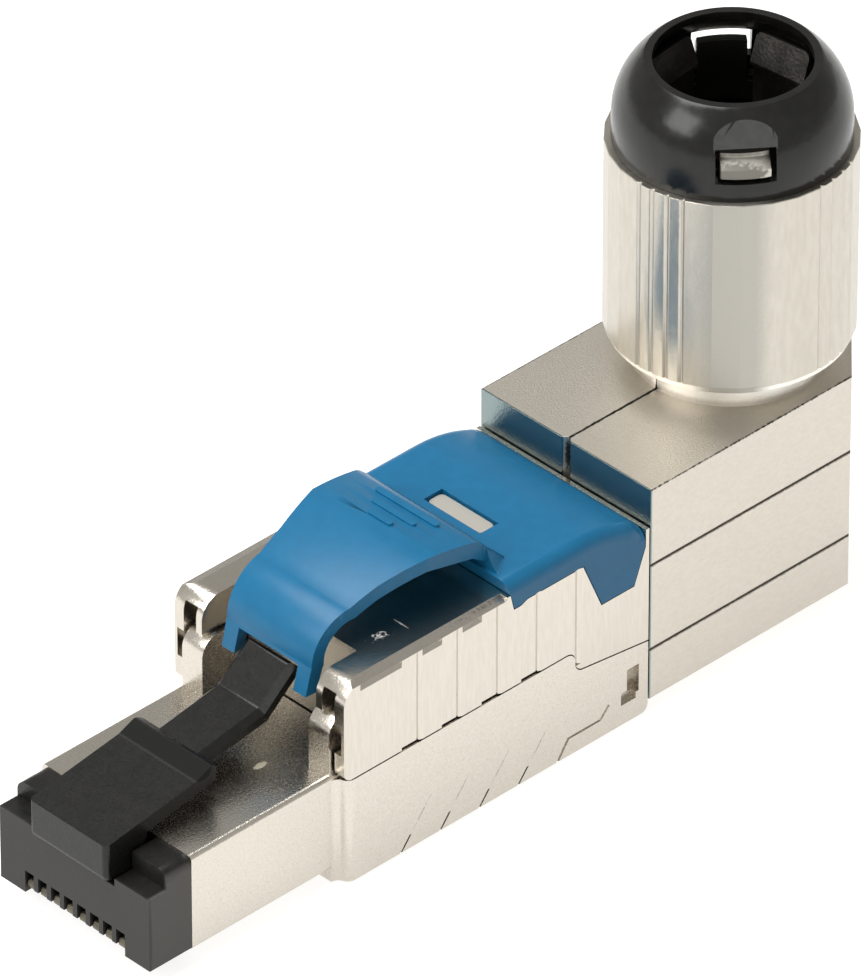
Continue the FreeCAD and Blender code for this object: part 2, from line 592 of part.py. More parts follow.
def base_outline():
    """Side of the base: flat underside, rounded heel, and the stepped seam."""
    first, second, third, last = seam("-")
    return [("nose_length", "0"), (f"{BODY_REAR} - body_heel", "0", "body_heel"), (BODY_REAR, "body_heel"),
            last, with_arc(third, "-seam_curve"), with_arc(second, "seam_curve"), first,
            ("nose_length", first[1])]


def base_housing():
    """Die-cast base: trough with the nose shield in front, hinge lugs and the seat of the elbow."""
    body = new_body("base_housing")
    extrude(body, "Pad", "XZ", [base_outline()], "body_width")
    for sign, first, second in (("", "flare_round", "-flare_round"), ("-", "-flare_round", "flare_round")):
        flare = [("nose_length - 1", f"{sign}nose_width / 2"), ("nose_length", f"{sign}nose_width / 2", first),
                 (behind("body_flare / 2"), f"{sign}({BODY_HALF} + nose_width / 2) / 2", second),
                 (behind("body_flare"), f"{sign}{BODY_HALF}"), (behind("body_flare"), f"{sign}({BODY_HALF} + 1)"),
                 ("nose_length - 1", f"{sign}({BODY_HALF} + 1)")]
        extrude(body, "Pocket", "XY", [flare], "-1", "seam_top + 1")
    inner = f"({BODY_HALF} - body_wall)"
    trough = box(behind("lug_length"), f"{BODY_REAR} - body_rear_wall", f"-{inner}", inner)
    extrude(body, "Pocket", "XY", [trough], "body_floor", "seam_top + 1")
    nose = rounded_box("-nose_width / 2", "nose_width / 2", "nose_floor", "nose_top", "shield_round")
    extrude(body, "Pad", "YZ", [nose], "cap_length", behind("lug_length"))
    sill = box("seam_gap - channel_half", "channel_half - seam_gap", "nose_top - shield_wall", "nose_top")
    extrude(body, "Pad", "YZ", [sill], behind("(lug_length - 0.2)"), behind("(roof_front - seam_gap)"))
    lug = [("nose_length", "nose_floor"), (behind("lug_length"), "nose_floor"),
           (behind("lug_length"), "lug_top - lug_round", "lug_round"),
           (behind("(lug_length - lug_round)"), "lug_top"), (behind("lug_round"), "lug_top", "lug_round"),
           ("nose_length", "lug_top - lug_round")]
    both_sides(body, "Pad", [lug], "lug_inner", "lug_outer")
    pin = ("circle", behind("pin_back"), "pin_height", "pin_radius")
    both_sides(body, "Pad", [pin], "lug_outer", "lug_outer + pin_length")
    half = "(nose_width / 2 - shield_wall)"
    inside = box(f"-{half}", half, "nose_floor + shield_wall", "nose_top - shield_wall")
    extrude(body, "Pocket", "YZ", [inside], "cap_length - 1", behind("(lug_length + 1)"))
    span = "(3.5 * pin_pitch + slot_width / 2)"
    window = box("cap_length - 1", "blade_window", f"-{span}", span)
    extrude(body, "Pocket", "XY", [window], "nose_floor - 1", "nose_floor + shield_wall")
    ledge = box(behind("(lug_length - 0.5)"), "board_rear", "body_floor - 0.5", "tail_top")
    both_sides(body, "Pad", [ledge], "ledge_inner", f"{inner} + 0.1")
    opening = ("circle", "0", "neck_axis", "neck_radius + neck_gap")
    extrude(body, "Pocket", "YZ", [opening], f"{BODY_REAR} - body_rear_wall - 0.5", f"{BODY_REAR} + 1")
    base_marks(body)
    return body


def base_marks(body):
    """Catch slot, slanted marks and the cranked line at the heel of the base."""
    edge = f"({BODY_REAR} - slot_rear)"
    slot = box(f"{edge} - slot_long", edge, "slot_foot", "slot_foot + slot_high")
    both_sides(body, "Pocket", [slot], f"{BODY_HALF} - slot_deep", f"{BODY_HALF} + 0.5")
    foot = box(f"{edge} - 1.5 * slot_long", f"{edge} - 0.25 * slot_long",
               "slot_foot - 0.45 * slot_long", "slot_foot + 0.45 * slot_long")
    both_sides(body, "Pocket", [foot], f"{BODY_HALF} - slot_deep / 2", f"{BODY_HALF} + 0.5")
    for sign in ("", "-"):
        slanted_marks(body, sign)
    last = behind("(slash_first + 4 * slash_pitch)")
    crank = "0.7 * slash_rise"
    line = [(last, "0"), (f"{last} + 1.5 * slash_width", "0"), (f"{last} + crank_run", f"{crank} - slash_width"),
            (f"{last} + 3.4 * crank_run", f"{crank} - slash_width"),
            (f"{last} + 4.1 * crank_run", "slash_rise"), (f"{last} + 3.95 * crank_run", "slash_rise + slash_width"),
            (f"{last} + 3.3 * crank_run", crank), (f"{last} + 0.85 * crank_run", crank)]
    both_sides(body, "Pocket", [line], f"{BODY_HALF} - slash_depth", f"{BODY_HALF} + 0.5")


def clip_line(edge, drop, fall="0"):
    """Curved line over the rear of the cover, from its rear edge forward, lowered by drop."""
    return [(edge, f"{CLIP_TOP} - clip_rear_fall - {drop} - {fall}", "clip_rear_radius"),
            (ahead("clip_knee"), f"{CLIP_TOP} - clip_fall - {drop}", "clip_bend_radius"),
            (ahead("clip_bend"), f"{CLIP_TOP} - {drop}")]


def skirt(gap):
    """Lower side outline of the clip, its skirt and hook, grown by gap where it sits in the cover."""
    return [(behind(f"(clip_front + clip_slant - {gap})"), f"skirt_low - skirt_tip - {gap}"),
            (behind("(clip_front + 2 * clip_slant)"), f"skirt_low - skirt_tip - {gap}"),
            (behind("(clip_front + 3 * clip_slant)"), f"skirt_low - {gap}"),
            (ahead(f"(hook_front + {gap})"), f"skirt_low - {gap}"),
            (ahead(f"(hook_tip + {gap})"), f"hook_low - {gap}"), (ahead("hook_heel"), f"hook_low - {gap}"),
            (f"{BODY_REAR} - rim_length - clip_gap + {gap}", f"hook_back - {gap}")]


def cover_outline():
    """Side of the cover: seam, rear rim, seat of the clip, flat top and rounded front."""
    front = behind("cover_set")
    first, second, third, last = seam("+")
    rim = f"{CLIP_TOP} - clip_rear_fall"
    return ([(front, "seam_top + seam_gap / 2 + cover_toe", "cover_toe"),
             (f"{front} + cover_toe", first[1]), with_arc(first, "-seam_curve"), with_arc(second, "seam_curve"),
             third, last, (BODY_REAR, rim), (f"{BODY_REAR} - rim_length", rim)]
            + clip_line(f"{BODY_REAR} - rim_length", "(clip_skin + clip_gap)", "clip_gap")
            + [(f"{front} + cover_round", "cover_top", "cover_round"), (front, "cover_top - cover_round")])


def cover_hollows(body):
    """Channel for the tab, bays for the lugs and pins, hollow ears, and the inside of the cover."""
    outside = "nose_length - 1"
    channel = box(outside, behind("roof_front"), "0", "cover_top + 1")
    extrude(body, "Pocket", "XZ", [channel], "2 * channel_half")
    bay = box(outside, behind("(lug_length + lug_gap)"), "0", "lug_top + lug_gap")
    extrude(body, "Pocket", "XZ", [bay], f"2 * ({BODY_HALF} - cover_wall)")
    ear = box(outside, behind("ear_deep"), "lug_top", "cover_top - ear_skin")
    both_sides(body, "Pocket", [ear], "ear_inner", f"{BODY_HALF} - cover_wall")
    grown = "(pin_radius + lug_gap)"
    slot = [(outside, f"pin_height - {grown}"), (behind("pin_back"), f"pin_height - {grown}", grown),
            (behind(f"(pin_back + {grown})"), "pin_height", grown),
            (behind("pin_back"), f"pin_height + {grown}"), (outside, f"pin_height + {grown}")]
    both_sides(body, "Pocket", [slot], f"{BODY_HALF} - cover_wall - 0.1", "lug_outer + pin_length + lug_gap")
    rear, roof = f"{BODY_REAR} - body_rear_wall", "cover_top - roof_thick"
    start = behind("(roof_front + front_wall)")
    chamber = [(start, "0"), (rear, "0"), (rear, f"{roof} - clip_fall"), (ahead("clip_bend"), roof), (start, roof)]
    extrude(body, "Pocket", "XZ", [chamber], f"2 * ({BODY_HALF} - cover_side)")


def cover():
    """Die-cast cover: flat top, hollow ears over the lugs, seat and catch of the clip, grip steps."""
    body = new_body("cover")
    extrude(body, "Pad", "XZ", [cover_outline()], "body_width")
    cover_hollows(body)
    edge = f"{BODY_REAR} - rim_length"
    seat = skirt("clip_gap") + [(edge, "cover_top + 1"), (behind("(clip_front - clip_gap)"), "cover_top + 1")]
    both_sides(body, "Pocket", [seat], f"{BODY_HALF} - clip_side - clip_gap", f"{BODY_HALF} + 1")
    opening = ("circle", "0", "neck_axis", "neck_radius + neck_gap")
    extrude(body, "Pocket", "YZ", [opening], f"{BODY_REAR} - body_rear_wall - 0.5", f"{BODY_REAR} + 1")
    catch = box(behind("catch_front"), behind("(catch_front + catch_length)"),
                "cover_top - 0.2", "cover_top + catch_rise")
    extrude(body, "Pad", "XZ", [catch], "2 * catch_half")
    half = number("catch_half")
    soften(body, "Fillet", "catch_round",
           lambda start, end: abs(abs(start.y) - half) < 1e-4 and abs(start.y - end.y) < 1e-4
           and abs(start.x - end.x) < 1e-4)
    for sign in ("", "-"):
        low, high = f"{sign}({BODY_HALF} - bevel_width)", f"{sign}({BODY_HALF} + 1)"
        strip = [(low, "cover_top"), (f"{sign}{BODY_HALF}", "cover_top - bevel_drop"),
                 (high, "cover_top - bevel_drop"), (high, "cover_top + 1"), (low, "cover_top + 1")]
        extrude(body, "Pocket", "YZ", [strip], "nose_length - 1", behind("(clip_front - clip_gap)"))
        grips(body, sign)
    return body


def grips(body, sign):
    """Grip lines down one side, with a scoop in the roof edge behind each and a nick in the seam ahead."""
    line, edge = behind("grip_first"), "cover_top - bevel_drop"
    face, outside = f"{sign}{BODY_HALF}", f"{sign}({BODY_HALF} + 0.5)"
    groove = [(line, f"{sign}({BODY_HALF} - grip_depth)"), (f"{line} + grip_width", face),
              (f"{line} + grip_width", outside), (f"{line} - grip_width", outside),
              (f"{line} - grip_width", face)]
    cut = extrude(body, "Pocket", "XY", [groove], "seam_top - 1", edge)
    repeat(body, cut, "X", "grip_pitch", 5)
    scoop = [(outside, edge), (face, edge), (f"{sign}({BODY_HALF} - scoop_deep)", f"{edge} - scoop_high / 3"),
             (face, f"{edge} - scoop_high"), (outside, f"{edge} - scoop_high")]
    start = behind("(grip_first + grip_width)")
    extrude(body, "Pocket", "YZ", [scoop], behind("scoop_start"), f"{start} + scoop_length - grip_pitch")
    cut = extrude(body, "Pocket", "YZ", [scoop], start, f"{start} + scoop_length")
    repeat(body, cut, "X", "grip_pitch", 2)
    foot = "(seam_top + seam_gap / 2)"
    nick = [(outside, f"{foot} - nick_size"), (f"{sign}({BODY_HALF} - nick_size)", f"{foot} - nick_size"),
            (f"{sign}({BODY_HALF} - nick_size)", foot), (face, f"{foot} + nick_size"),
            (outside, f"{foot} + nick_size")]
    cut = extrude(body, "Pocket", "YZ", [nick], f"{line} - nick_length", line)
    repeat(body, cut, "X", "grip_pitch", 4)


def flank_height(back):
    """Height of the rear flank of the ridge at a distance behind the crest."""
    return f"(ridge_top - ({back}) * (ridge_top - {CLIP_TOP}) / (flank_foot - ridge_x))"


def release_clip():
    """Fixed part of the blue moulding: skin over the cover, side hooks, window and rear flank of the ridge."""
    body = new_body("release_clip")
    edge = f"{BODY_REAR} - rim_length - clip_gap"
    front = [(behind("clip_front"), CLIP_TOP), (behind("(clip_front + 0.2)"), f"{CLIP_TOP} - clip_skin")]
    under = list(reversed(clip_line(edge, "clip_skin")))
    under = [under[0] + ("-clip_bend_radius",), (under[1][0], under[1][1], "-clip_rear_radius"), under[2][:2]]
    extrude(body, "Pad", "XZ", [clip_line(edge, "0") + front + under], "body_width")
    side = skirt("0") + [(edge, f"{CLIP_TOP} - clip_rear_fall - 0.1"),
                         (ahead("clip_knee"), f"{CLIP_TOP} - clip_fall - 0.1"),
                         (ahead("clip_bend"), f"{CLIP_TOP} - 0.1"), (behind("(clip_front + 0.03)"), f"{CLIP_TOP} - 0.1")]
    both_sides(body, "Pad", [side], f"{BODY_HALF} - clip_side", BODY_HALF)
    half, low = number(BODY_HALF), number("skirt_low") + 0.02
    soften(body, "Fillet", "clip_round",
           lambda start, end: abs(abs(start.y) - half) < 1e-4 and abs(start.y - end.y) < 1e-4
           and min(start.z, end.z) > low and abs(start.x - end.x) > 0.5)
    back = "(flex_back + flex_gap / 2)"
    wedge = [(behind(f"(ridge_x + {back})"), flank_height(back)),
             (behind(f"(ridge_x + {back})"), f"{CLIP_TOP} - 0.1"), (behind("flank_foot"), f"{CLIP_TOP} - 0.1"),
             (behind("flank_foot"), CLIP_TOP)]
    extrude(body, "Pad", "XZ", [wedge], "2 * tab_root_half")
    window = box(behind("(catch_front - catch_gap)"), behind("(catch_front + catch_length + catch_gap)"),
                 "-(catch_half + catch_gap)", "catch_half + catch_gap")
    extrude(body, "Pocket", "XY", [window], "cover_top", f"{CLIP_TOP} + 0.5")
    return body


def tab_outline():
    """Side of the tab: curved front, long back up to its crown, ridge, and the same line underneath."""
    nose, cut = behind("tab_nose"), "(flex_back - flex_gap / 2)"
    return [(nose, "tab_nose_foot"), (f"{nose} + tab_thick", "tab_nose_foot", "-(tab_slope_radius - tab_thick)"),
            (behind("(tab_slope + 0.38 * tab_thick)"), "tab_slope_top - 0.93 * tab_thick",
             "-(tab_back_radius - tab_thick)"),
            (behind("tab_crown"), "tab_crown_top - tab_thick"),
            (behind("(ridge_x - 0.45 * tab_thick)"), "ridge_top - 1.1 * tab_thick"),
            (behind(f"(ridge_x + {cut})"), f"{flank_height(cut)} - 1.2 * tab_thick"),
            (behind(f"(ridge_x + {cut})"), flank_height(cut)), (behind("ridge_x"), "ridge_top", "tab_back_radius"),
            (behind("tab_crown"), "tab_crown_top", "tab_back_radius"),
            (behind("tab_slope"), "tab_slope_top", "tab_slope_radius")]


def release_tab():
    """Moving part of the blue moulding: the finger tab from the ridge down to its forked front edge."""
    body = new_body("release_tab")
    extrude(body, "Pad", "XZ", [tab_outline()], "2 * tab_root_half")
    crest, ridge = number("ridge_top"), number(behind("ridge_x"))
    soften(body, "Fillet", "crest_round",
           lambda start, end: all(abs(point.z - crest) + abs(point.x - ridge) < 1e-4 for point in (start, end)))
    prong = [(behind("tab_nose"), "tab_nose_foot + 0.2"), (behind("prong_front"), "prong_foot"),
             (behind("(prong_front + 0.85 * tab_thick)"), "prong_foot"),
             (f"{behind('tab_nose')} + tab_thick", "tab_nose_foot + 0.2")]
    extrude(body, "Pad", "XZ", [prong], "2 * tab_root_half")
    notch = box(behind("(prong_front - 1)"), behind("(tab_nose + 2 * tab_thick)"), "prong_foot - 1", "tab_nose_foot")
    extrude(body, "Pocket", "XZ", [notch], "2 * prong_half")
    for sign in ("", "-"):
        waist = [(behind("(prong_front - 1)"), f"{sign}tab_tip_half"), (behind("prong_front"), f"{sign}tab_tip_half"),
                 (behind("tab_slope"), f"{sign}tab_slope_half"), (behind("tab_neck"), f"{sign}tab_neck_half"),
                 (behind("tab_crown"), f"{sign}tab_crown_half"), (behind("ridge_x"), f"{sign}tab_root_half"),
                 (behind("ridge_x"), f"{sign}(tab_root_half + 1)"),
                 (behind("(prong_front - 1)"), f"{sign}(tab_root_half + 1)")]
        extrude(body, "Pocket", "XY", [waist], "prong_foot - 1", "tab_crown_top + 1")
    for place in range(3):
        middle = behind(f"(bar_first - {place} * bar_pitch)")
        end = f"(bar_half - {place} * bar_step - bar_width / 2)"
        top = f"(ridge_top + bar_rise + {place} * bar_climb)"
        bar = [(f"{middle} - bar_width / 2", f"-{end}", "bar_width / 2"), (f"{middle} + bar_width / 2", f"-{end}"),
               (f"{middle} + bar_width / 2", end, "bar_width / 2"), (f"{middle} - bar_width / 2", end)]
        extrude(body, "Pad", "XY", [bar], f"{top} - bar_rise - 0.2", top)
    return body


def elbow_plan(inset):
    """Plan of the elbow without its front corners: flat sides, slanted rear corners and flat rear."""
    corner = f"(elbow_corner - {inset}) * 1.41421"
    side, back = f"({BODY_HALF} - {inset})", f"(elbow_back - {inset})"
    return [(ELBOW_FRONT, f"-{side}"), (f"{OUTLET} + {corner} - {side}", f"-{side}"),
            (f"{OUTLET} + {back}", f"{back} - {corner}"), (f"{OUTLET} + {back}", f"{corner} - {back}"),
            (f"{OUTLET} + {corner} - {side}", side), (ELBOW_FRONT, side)]


def elbow_half(label, keeps_left):
    """Half of the elbow: block, half of the threaded collar, and the neck held in the body.

    The whole elbow is formed and the other half is cut away at the split.
    """
    body = new_body(label)
    extrude(body, "Pad", "XY", [elbow_plan("0")], "elbow_floor", "elbow_top")
    collar = [("0", "elbow_top - 1"), (COLLAR, "elbow_top - 1"), (COLLAR, "collar_top - collar_bevel"),
              (f"{COLLAR} - collar_bevel", "collar_top"), ("0", "collar_top")]
    spin(body, "Revolution", [collar], OUTLET)
    neck = f"({BODY_REAR} - body_rear_wall - neck_gap)"
    extrude(body, "Pad", "YZ", [("circle", "0", "neck_axis", "neck_radius")], neck, f"{ELBOW_FRONT} + 0.5")
    flange = ("circle", "0", "neck_axis", "flange_radius")
    extrude(body, "Pad", "YZ", [flange], f"{neck} - flange_length", neck)
    bore = f"{COLLAR} - collar_wall"
    upright = [("0", "chamber_floor"), ("chamber_radius", "chamber_floor"), ("chamber_radius", "elbow_top - 1"),
               (bore, "elbow_top"), (bore, "collar_top + 1"), ("0", "collar_top + 1")]
    spin(body, "Groove", [upright], OUTLET)
    passage = ("circle", "0", "neck_axis", "neck_bore")
    extrude(body, "Pocket", "YZ", [passage], f"{neck} - flange_length - 1", OUTLET)
    far = f"({BODY_HALF} + 1)"
    ring = [(ELBOW_FRONT, f"-{far}"), (f"{OUTLET} + elbow_back + 1", f"-{far}"),
            (f"{OUTLET} + elbow_back + 1", far), (ELBOW_FRONT, far)]
    ring += list(reversed(elbow_plan("line_depth")))
    for height in ("line_upper", "line_lower"):
        extrude(body, "Pocket", "XY", [ring], height, f"{height} + line_height")
    notch = [(f"{ELBOW_FRONT} - 1", "-split_bevel - 1"), (f"{ELBOW_FRONT} + split_bevel", "-split_gap / 2"),
             (f"{ELBOW_FRONT} + split_bevel", "split_gap / 2"), (f"{ELBOW_FRONT} - 1", "split_bevel + 1")]
    extrude(body, "Pocket", "XY", [notch], "neck_axis + flange_radius", "elbow_top + 1")
    low, high = (f"-{far}", "split_gap / 2") if keeps_left else ("-split_gap / 2", far)
    other = box("nose_length", f"{OUTLET} + elbow_back + 1", low, high)
    extrude(body, "Pocket", "XY", [other], "-1", "collar_top + 2")
    return body


def on_rim(radius, angle):
    """A point of a plan outline given by radius and direction."""
    return (f"{radius} * cos({angle})", f"{radius} * sin({angle})")


def nut_rim():
    """Plan of the nut: groups of ribs with grooves between them, and plain facets from group to group."""
    corners = []
    valley = "(nut_radius - nut_groove)"
    groups, ribs, facets = (int(number(name)) for name in ("nut_groups", "nut_ribs", "nut_facets"))
    for group in range(groups):
        start = f"(nut_rib_turn - tongue_turn + {group} * 360 / nut_groups - nut_ribs * nut_rib_angle / 2)"
        for rib in range(ribs):
            for share, radius in (("0", valley), ("0.16", "nut_radius"), ("0.84", "nut_radius")):
                corners.append(on_rim(radius, f"({start} + ({rib} + {share}) * nut_rib_angle)"))
        end = f"({start} + nut_ribs * nut_rib_angle)"
        corners.append(on_rim(valley, end))
        step = "(360 / nut_groups - nut_ribs * nut_rib_angle - 0.32 * nut_rib_angle) / nut_facets"
        for facet in range(facets + 1):
            corners.append(on_rim("nut_radius", f"({end} + 0.16 * nut_rib_angle + {facet} * {step})"))
    return corners


def clamp_nut():
    """Nickel-plated nut: grip ribs outside, thread bore, chamber of the jaw cage, and two tongues with lugs."""
    body = new_body("clamp_nut", OUTLET, "0", "tongue_turn")
    extrude(body, "Pad", "XY", [nut_rim()], "nut_floor", "nut_top")
    extrude(body, "Pad", "XY", [("circle", "0", "0", "nut_radius - foot_set")], "nut_foot", "nut_floor")
    chamber = "nut_radius - chamber_wall"
    bore = [("0", "nut_foot - 1"), (NUT_BORE, "nut_foot - 1"), (NUT_BORE, "cage_floor"),
            (chamber, "cage_floor"), (chamber, "nut_top - nut_lip"), (NUT_HOLE, "nut_top - nut_lip"),
            (NUT_HOLE, "nut_top + 1"), ("0", "nut_top + 1")]
    spin(body, "Groove", [bore], "0")
    outside, reach = f"{NUT_HOLE} + tongue_thick", f"{DOME} - lug_shy"
    ring = [(NUT_HOLE, "nut_top - 0.2"), (outside, "nut_top - 0.2"), (outside, "lug_foot"),
            (reach, "lug_foot"), (reach, "lug_foot + lug_face"), (outside, "lug_foot + lug_face + lug_slope"),
            (outside, "tongue_top"), (NUT_HOLE, "tongue_top")]
    spin(body, "Revolution", [ring], "0")
    far = "(nut_radius + 1)"
    for low, high in (("tongue_half", far), (f"-{far}", "-tongue_half")):
        extrude(body, "Pocket", "XY", [box(f"-{far}", far, low, high)], "nut_top", "tongue_top + 1")
    return body


def gland_dome():
    """Black plastic dome on the nut, with a window for each lug and a flat above it."""
    body = new_body("gland_dome", OUTLET, "0", "tongue_turn")
    foot, top = "(nut_top + dome_gap)", "(nut_top + dome_height)"
    inner, mouth = f"{DOME} - dome_wall", f"{DOME} - dome_lip"
    wall = [(inner, foot), (DOME, foot), (DOME, "nut_top + dome_side", "dome_curve"),
            (f"{DOME} - dome_fall_in", top), (mouth, top), (mouth, f"{top} - mouth_land"),
            (f"{inner} - dome_knee", "nut_top + dome_knee_height"), (inner, "nut_top + dome_side")]
    spin(body, "Revolution", [wall], "0")
    window = box("-window_half", "window_half", "window_foot", "window_top")
    extrude(body, "Pocket", "YZ", [window], "-nut_radius", "nut_radius")
    for sign in ("", "-"):
        flat = [(f"{sign}nut_radius", "window_top - 0.1"), (f"{sign}nut_radius", "recess_top"),
                (f"{sign}({DOME} - recess_deep - recess_lean)", "recess_top"),
                (f"{sign}({DOME} - recess_deep)", "window_top - 0.1")]
        extrude(body, "Pocket", "XZ", [flat], "2 * recess_half")
    return body


def clamp_jaws():
    """Cage in the nut with four flat fingers, whose slanted faces close on the cable shield."""
    body = new_body("clamp_jaws", OUTLET, "0", "tongue_turn - 45")
    low, high = "cage_floor + cage_gap", "nut_top - nut_lip - cage_gap"
    flange, outer = "nut_radius - chamber_wall - cage_side", f"({NUT_HOLE} - jaw_gap)"
    back = f"(sqrt({outer} ^ 2 - finger_half ^ 2) - 0.03)"
    inner, tip, foot = f"({back} - finger_thick)", f"({back} - finger_tip)", "(jaw_top - finger_face)"
    bore = f"({inner} - finger_edge)"
    wall = [(bore, low), (flange, low), (flange, high), (outer, high), (outer, "jaw_root"), (bore, "jaw_root")]
    spin(body, "Revolution", [wall], "0")
    finger = [(inner, "jaw_root - 0.3"), (back, "jaw_root - 0.3"), (back, "jaw_top"), (tip, "jaw_top"),
              (f"{tip} - finger_lean", foot), (f"{tip} - finger_lean", f"{foot} - finger_edge"),
              (inner, f"{foot} - 2 * finger_edge")]
    opposite = [(f"-({x})", z) for x, z in finger]
    for plane in ("XZ", "YZ"):
        extrude(body, "Pad", plane, [finger, opposite], "2 * finger_half")
    top, short = number("jaw_top") - 1e-4, number("finger_tip") + 1e-3
    soften(body, "Fillet", "finger_round",
           lambda start, end: min(start.z, end.z) > top and start.distanceToPoint(end) < short)
    return body


def circuit_board():
    """Board from the contact tails to the terminals."""
    body = new_body("circuit_board")
    plan = box("board_front", "board_rear", "-board_half", "board_half")
    extrude(body, "Pad", "XY", [plan], "tail_top", "tail_top + board_thick")
    return body


def terminal_places():
    """Centres of the eight wire terminals in plan, in two rows of four."""
    middle = "(block_front + block_rear) / 2"
    return [(f"{middle} + {row} * idc_rows / 2", f"{column} * idc_pitch")
            for row in ("(-1)", "1") for column in ("(-1.5)", "(-0.5)", "0.5", "1.5")]


def terminal_slots(body, low, high):
    """Slot for each wire terminal, wider than the terminal by its clearance."""
    deep, wide = "(idc_thick / 2 + idc_gap)", "(idc_width / 2 + idc_gap)"
    slots = [box(f"{x} - {deep}", f"{x} + {deep}", f"{y} - {wide}", f"{y} + {wide}") for x, y in terminal_places()]
    extrude(body, "Pocket", "XY", slots, low, high)


def terminal_block():
    """Plastic block on the board that holds the wire terminals."""
    body = new_body("terminal_block")
    plan = box("block_front", "block_rear", "-block_half", "block_half")
    floor = "(tail_top + board_thick)"
    extrude(body, "Pad", "XY", [plan], floor, f"{floor} + block_height")
    terminal_slots(body, f"{floor} - 1", f"{floor} + block_height + 1")
    return body


def idc_terminal(place):
    """One cutting terminal for a wire: a plate with a slit open at the top."""
    x, y = terminal_places()[place - 1]
    body = new_body(f"idc_terminal_{place}", x, y)
    floor = "(tail_top + board_thick)"
    plate = [("-idc_width / 2", floor), ("idc_width / 2", floor), ("idc_width / 2", f"{floor} + idc_height"),
             ("idc_slit / 2", f"{floor} + idc_height"), ("idc_slit / 2", f"{floor} + idc_height / 2"),
             ("-idc_slit / 2", f"{floor} + idc_height / 2"), ("-idc_slit / 2", f"{floor} + idc_height"),
             ("-idc_width / 2", f"{floor} + idc_height")]
    extrude(body, "Pad", "YZ", [plate], "-idc_thick / 2", "idc_thick / 2")
    return body


def wire_manager():
    """Plastic wire holder pressed onto the terminals by the cover, with a rear apron and cable hole."""
    body = new_body("wire_manager")
    foot = "(tail_top + board_thick + block_height + manager_gap)"
    top = "(cover_top - roof_thick - manager_gap / 2)"
    rear = "(board_rear + manager_gap + manager_apron)"
    side = [("block_front", foot), ("board_rear + manager_gap", foot),
            ("board_rear + manager_gap", "neck_axis - manager_bore - 1"), (rear, "neck_axis - manager_bore - 1"),
            (rear, top), ("block_front", top)]
    extrude(body, "Pad", "XZ", [side], "2 * block_half")
    terminal_slots(body, f"{foot} - 1", f"tail_top + board_thick + idc_height + manager_gap")
    channel = box("block_front - 1", f"{rear} + 1", f"{top} - manager_slot", f"{top} + 1")
    extrude(body, "Pocket", "XZ", [channel], "idc_pitch * 1.5")
    hole = ("circle", "0", "neck_axis", "manager_bore")
    extrude(body, "Pocket", "YZ", [hole], "board_rear", f"{rear} + 1")
    return body


bodies = [base_housing(), cover(), contact_carrier(), latch_lever(), release_clip(), release_tab(),
          elbow_half("elbow_left", True), elbow_half("elbow_right", False), clamp_nut(), clamp_jaws(),
          gland_dome(), circuit_board(), terminal_block(), wire_manager()]
bodies += [contact(place) for place in range(1, 9)]
bodies += [idc_terminal(place) for place in range(1, 9)]
doc.recompute()
for item in doc.Objects:
    if "Invalid" in item.State or "Error" in item.State:
        raise RuntimeError(f"{item.Label} is in error")
os.makedirs("parts", exist_ok=True)
for body in bodies:
    shape = body.Shape
    if shape.isNull() or not shape.isValid() or len(shape.Solids) != 1:
        raise RuntimeError(f"{body.Label} is not one sound solid")
    shape.exportStep(f"parts/{body.Label}.step")
    print(f"{body.Label}: {shape.Volume:.2f} cubic mm")
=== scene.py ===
# %% [markdown]
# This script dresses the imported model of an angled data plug: a metal body with a black nose, a blue
# release on top, and an elbow that carries a cable gland. The solids come ready made in the frame,
# and every later piece takes its place from them, so the frame is loaded first. Lengths are in
# metres, but the places of zones and the profiles of new pieces are in millimetres, which are
# easier to read off a drawing.

# %% Load the frame
import json
import math

import bpy
import numpy as np
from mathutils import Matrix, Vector


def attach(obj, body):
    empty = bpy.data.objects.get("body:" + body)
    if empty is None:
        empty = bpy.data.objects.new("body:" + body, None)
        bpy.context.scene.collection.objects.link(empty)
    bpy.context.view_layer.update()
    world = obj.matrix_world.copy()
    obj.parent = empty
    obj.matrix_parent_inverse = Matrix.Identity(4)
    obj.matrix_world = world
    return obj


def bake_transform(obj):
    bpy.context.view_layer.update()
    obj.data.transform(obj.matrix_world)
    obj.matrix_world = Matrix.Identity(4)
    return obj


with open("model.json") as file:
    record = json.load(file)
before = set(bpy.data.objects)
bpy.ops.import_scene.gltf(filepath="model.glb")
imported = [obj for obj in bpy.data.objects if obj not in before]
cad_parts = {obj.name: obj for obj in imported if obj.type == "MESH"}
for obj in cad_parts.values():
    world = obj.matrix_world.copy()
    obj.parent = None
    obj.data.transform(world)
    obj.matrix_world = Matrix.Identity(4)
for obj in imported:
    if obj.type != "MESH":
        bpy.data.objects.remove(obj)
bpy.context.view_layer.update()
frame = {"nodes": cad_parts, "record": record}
nodes = frame["nodes"]
print("nodes in the frame:", len(nodes))

# %% [markdown]
# The camera comes next, since it decides which details are worth making. It could be placed by eye,
# but straight edges of the plug give its place and lens exactly. The fit put the front of the nose
# at x = 0, and the frame has it at minus NOSE_FRONT. The lens is long, so the picture is almost
# parallel, as in a catalogue.

# %% Camera
NOSE_FRONT = 0.027675
EYE = Vector((-0.42725 - NOSE_FRONT, -0.47148, 0.48804))
BACKWARDS = Vector((-0.56255, -0.58451, 0.58471))
SENSOR_WIDTH, FOCAL_PIXELS, FRAME_PIXELS = 36, 15000, 977

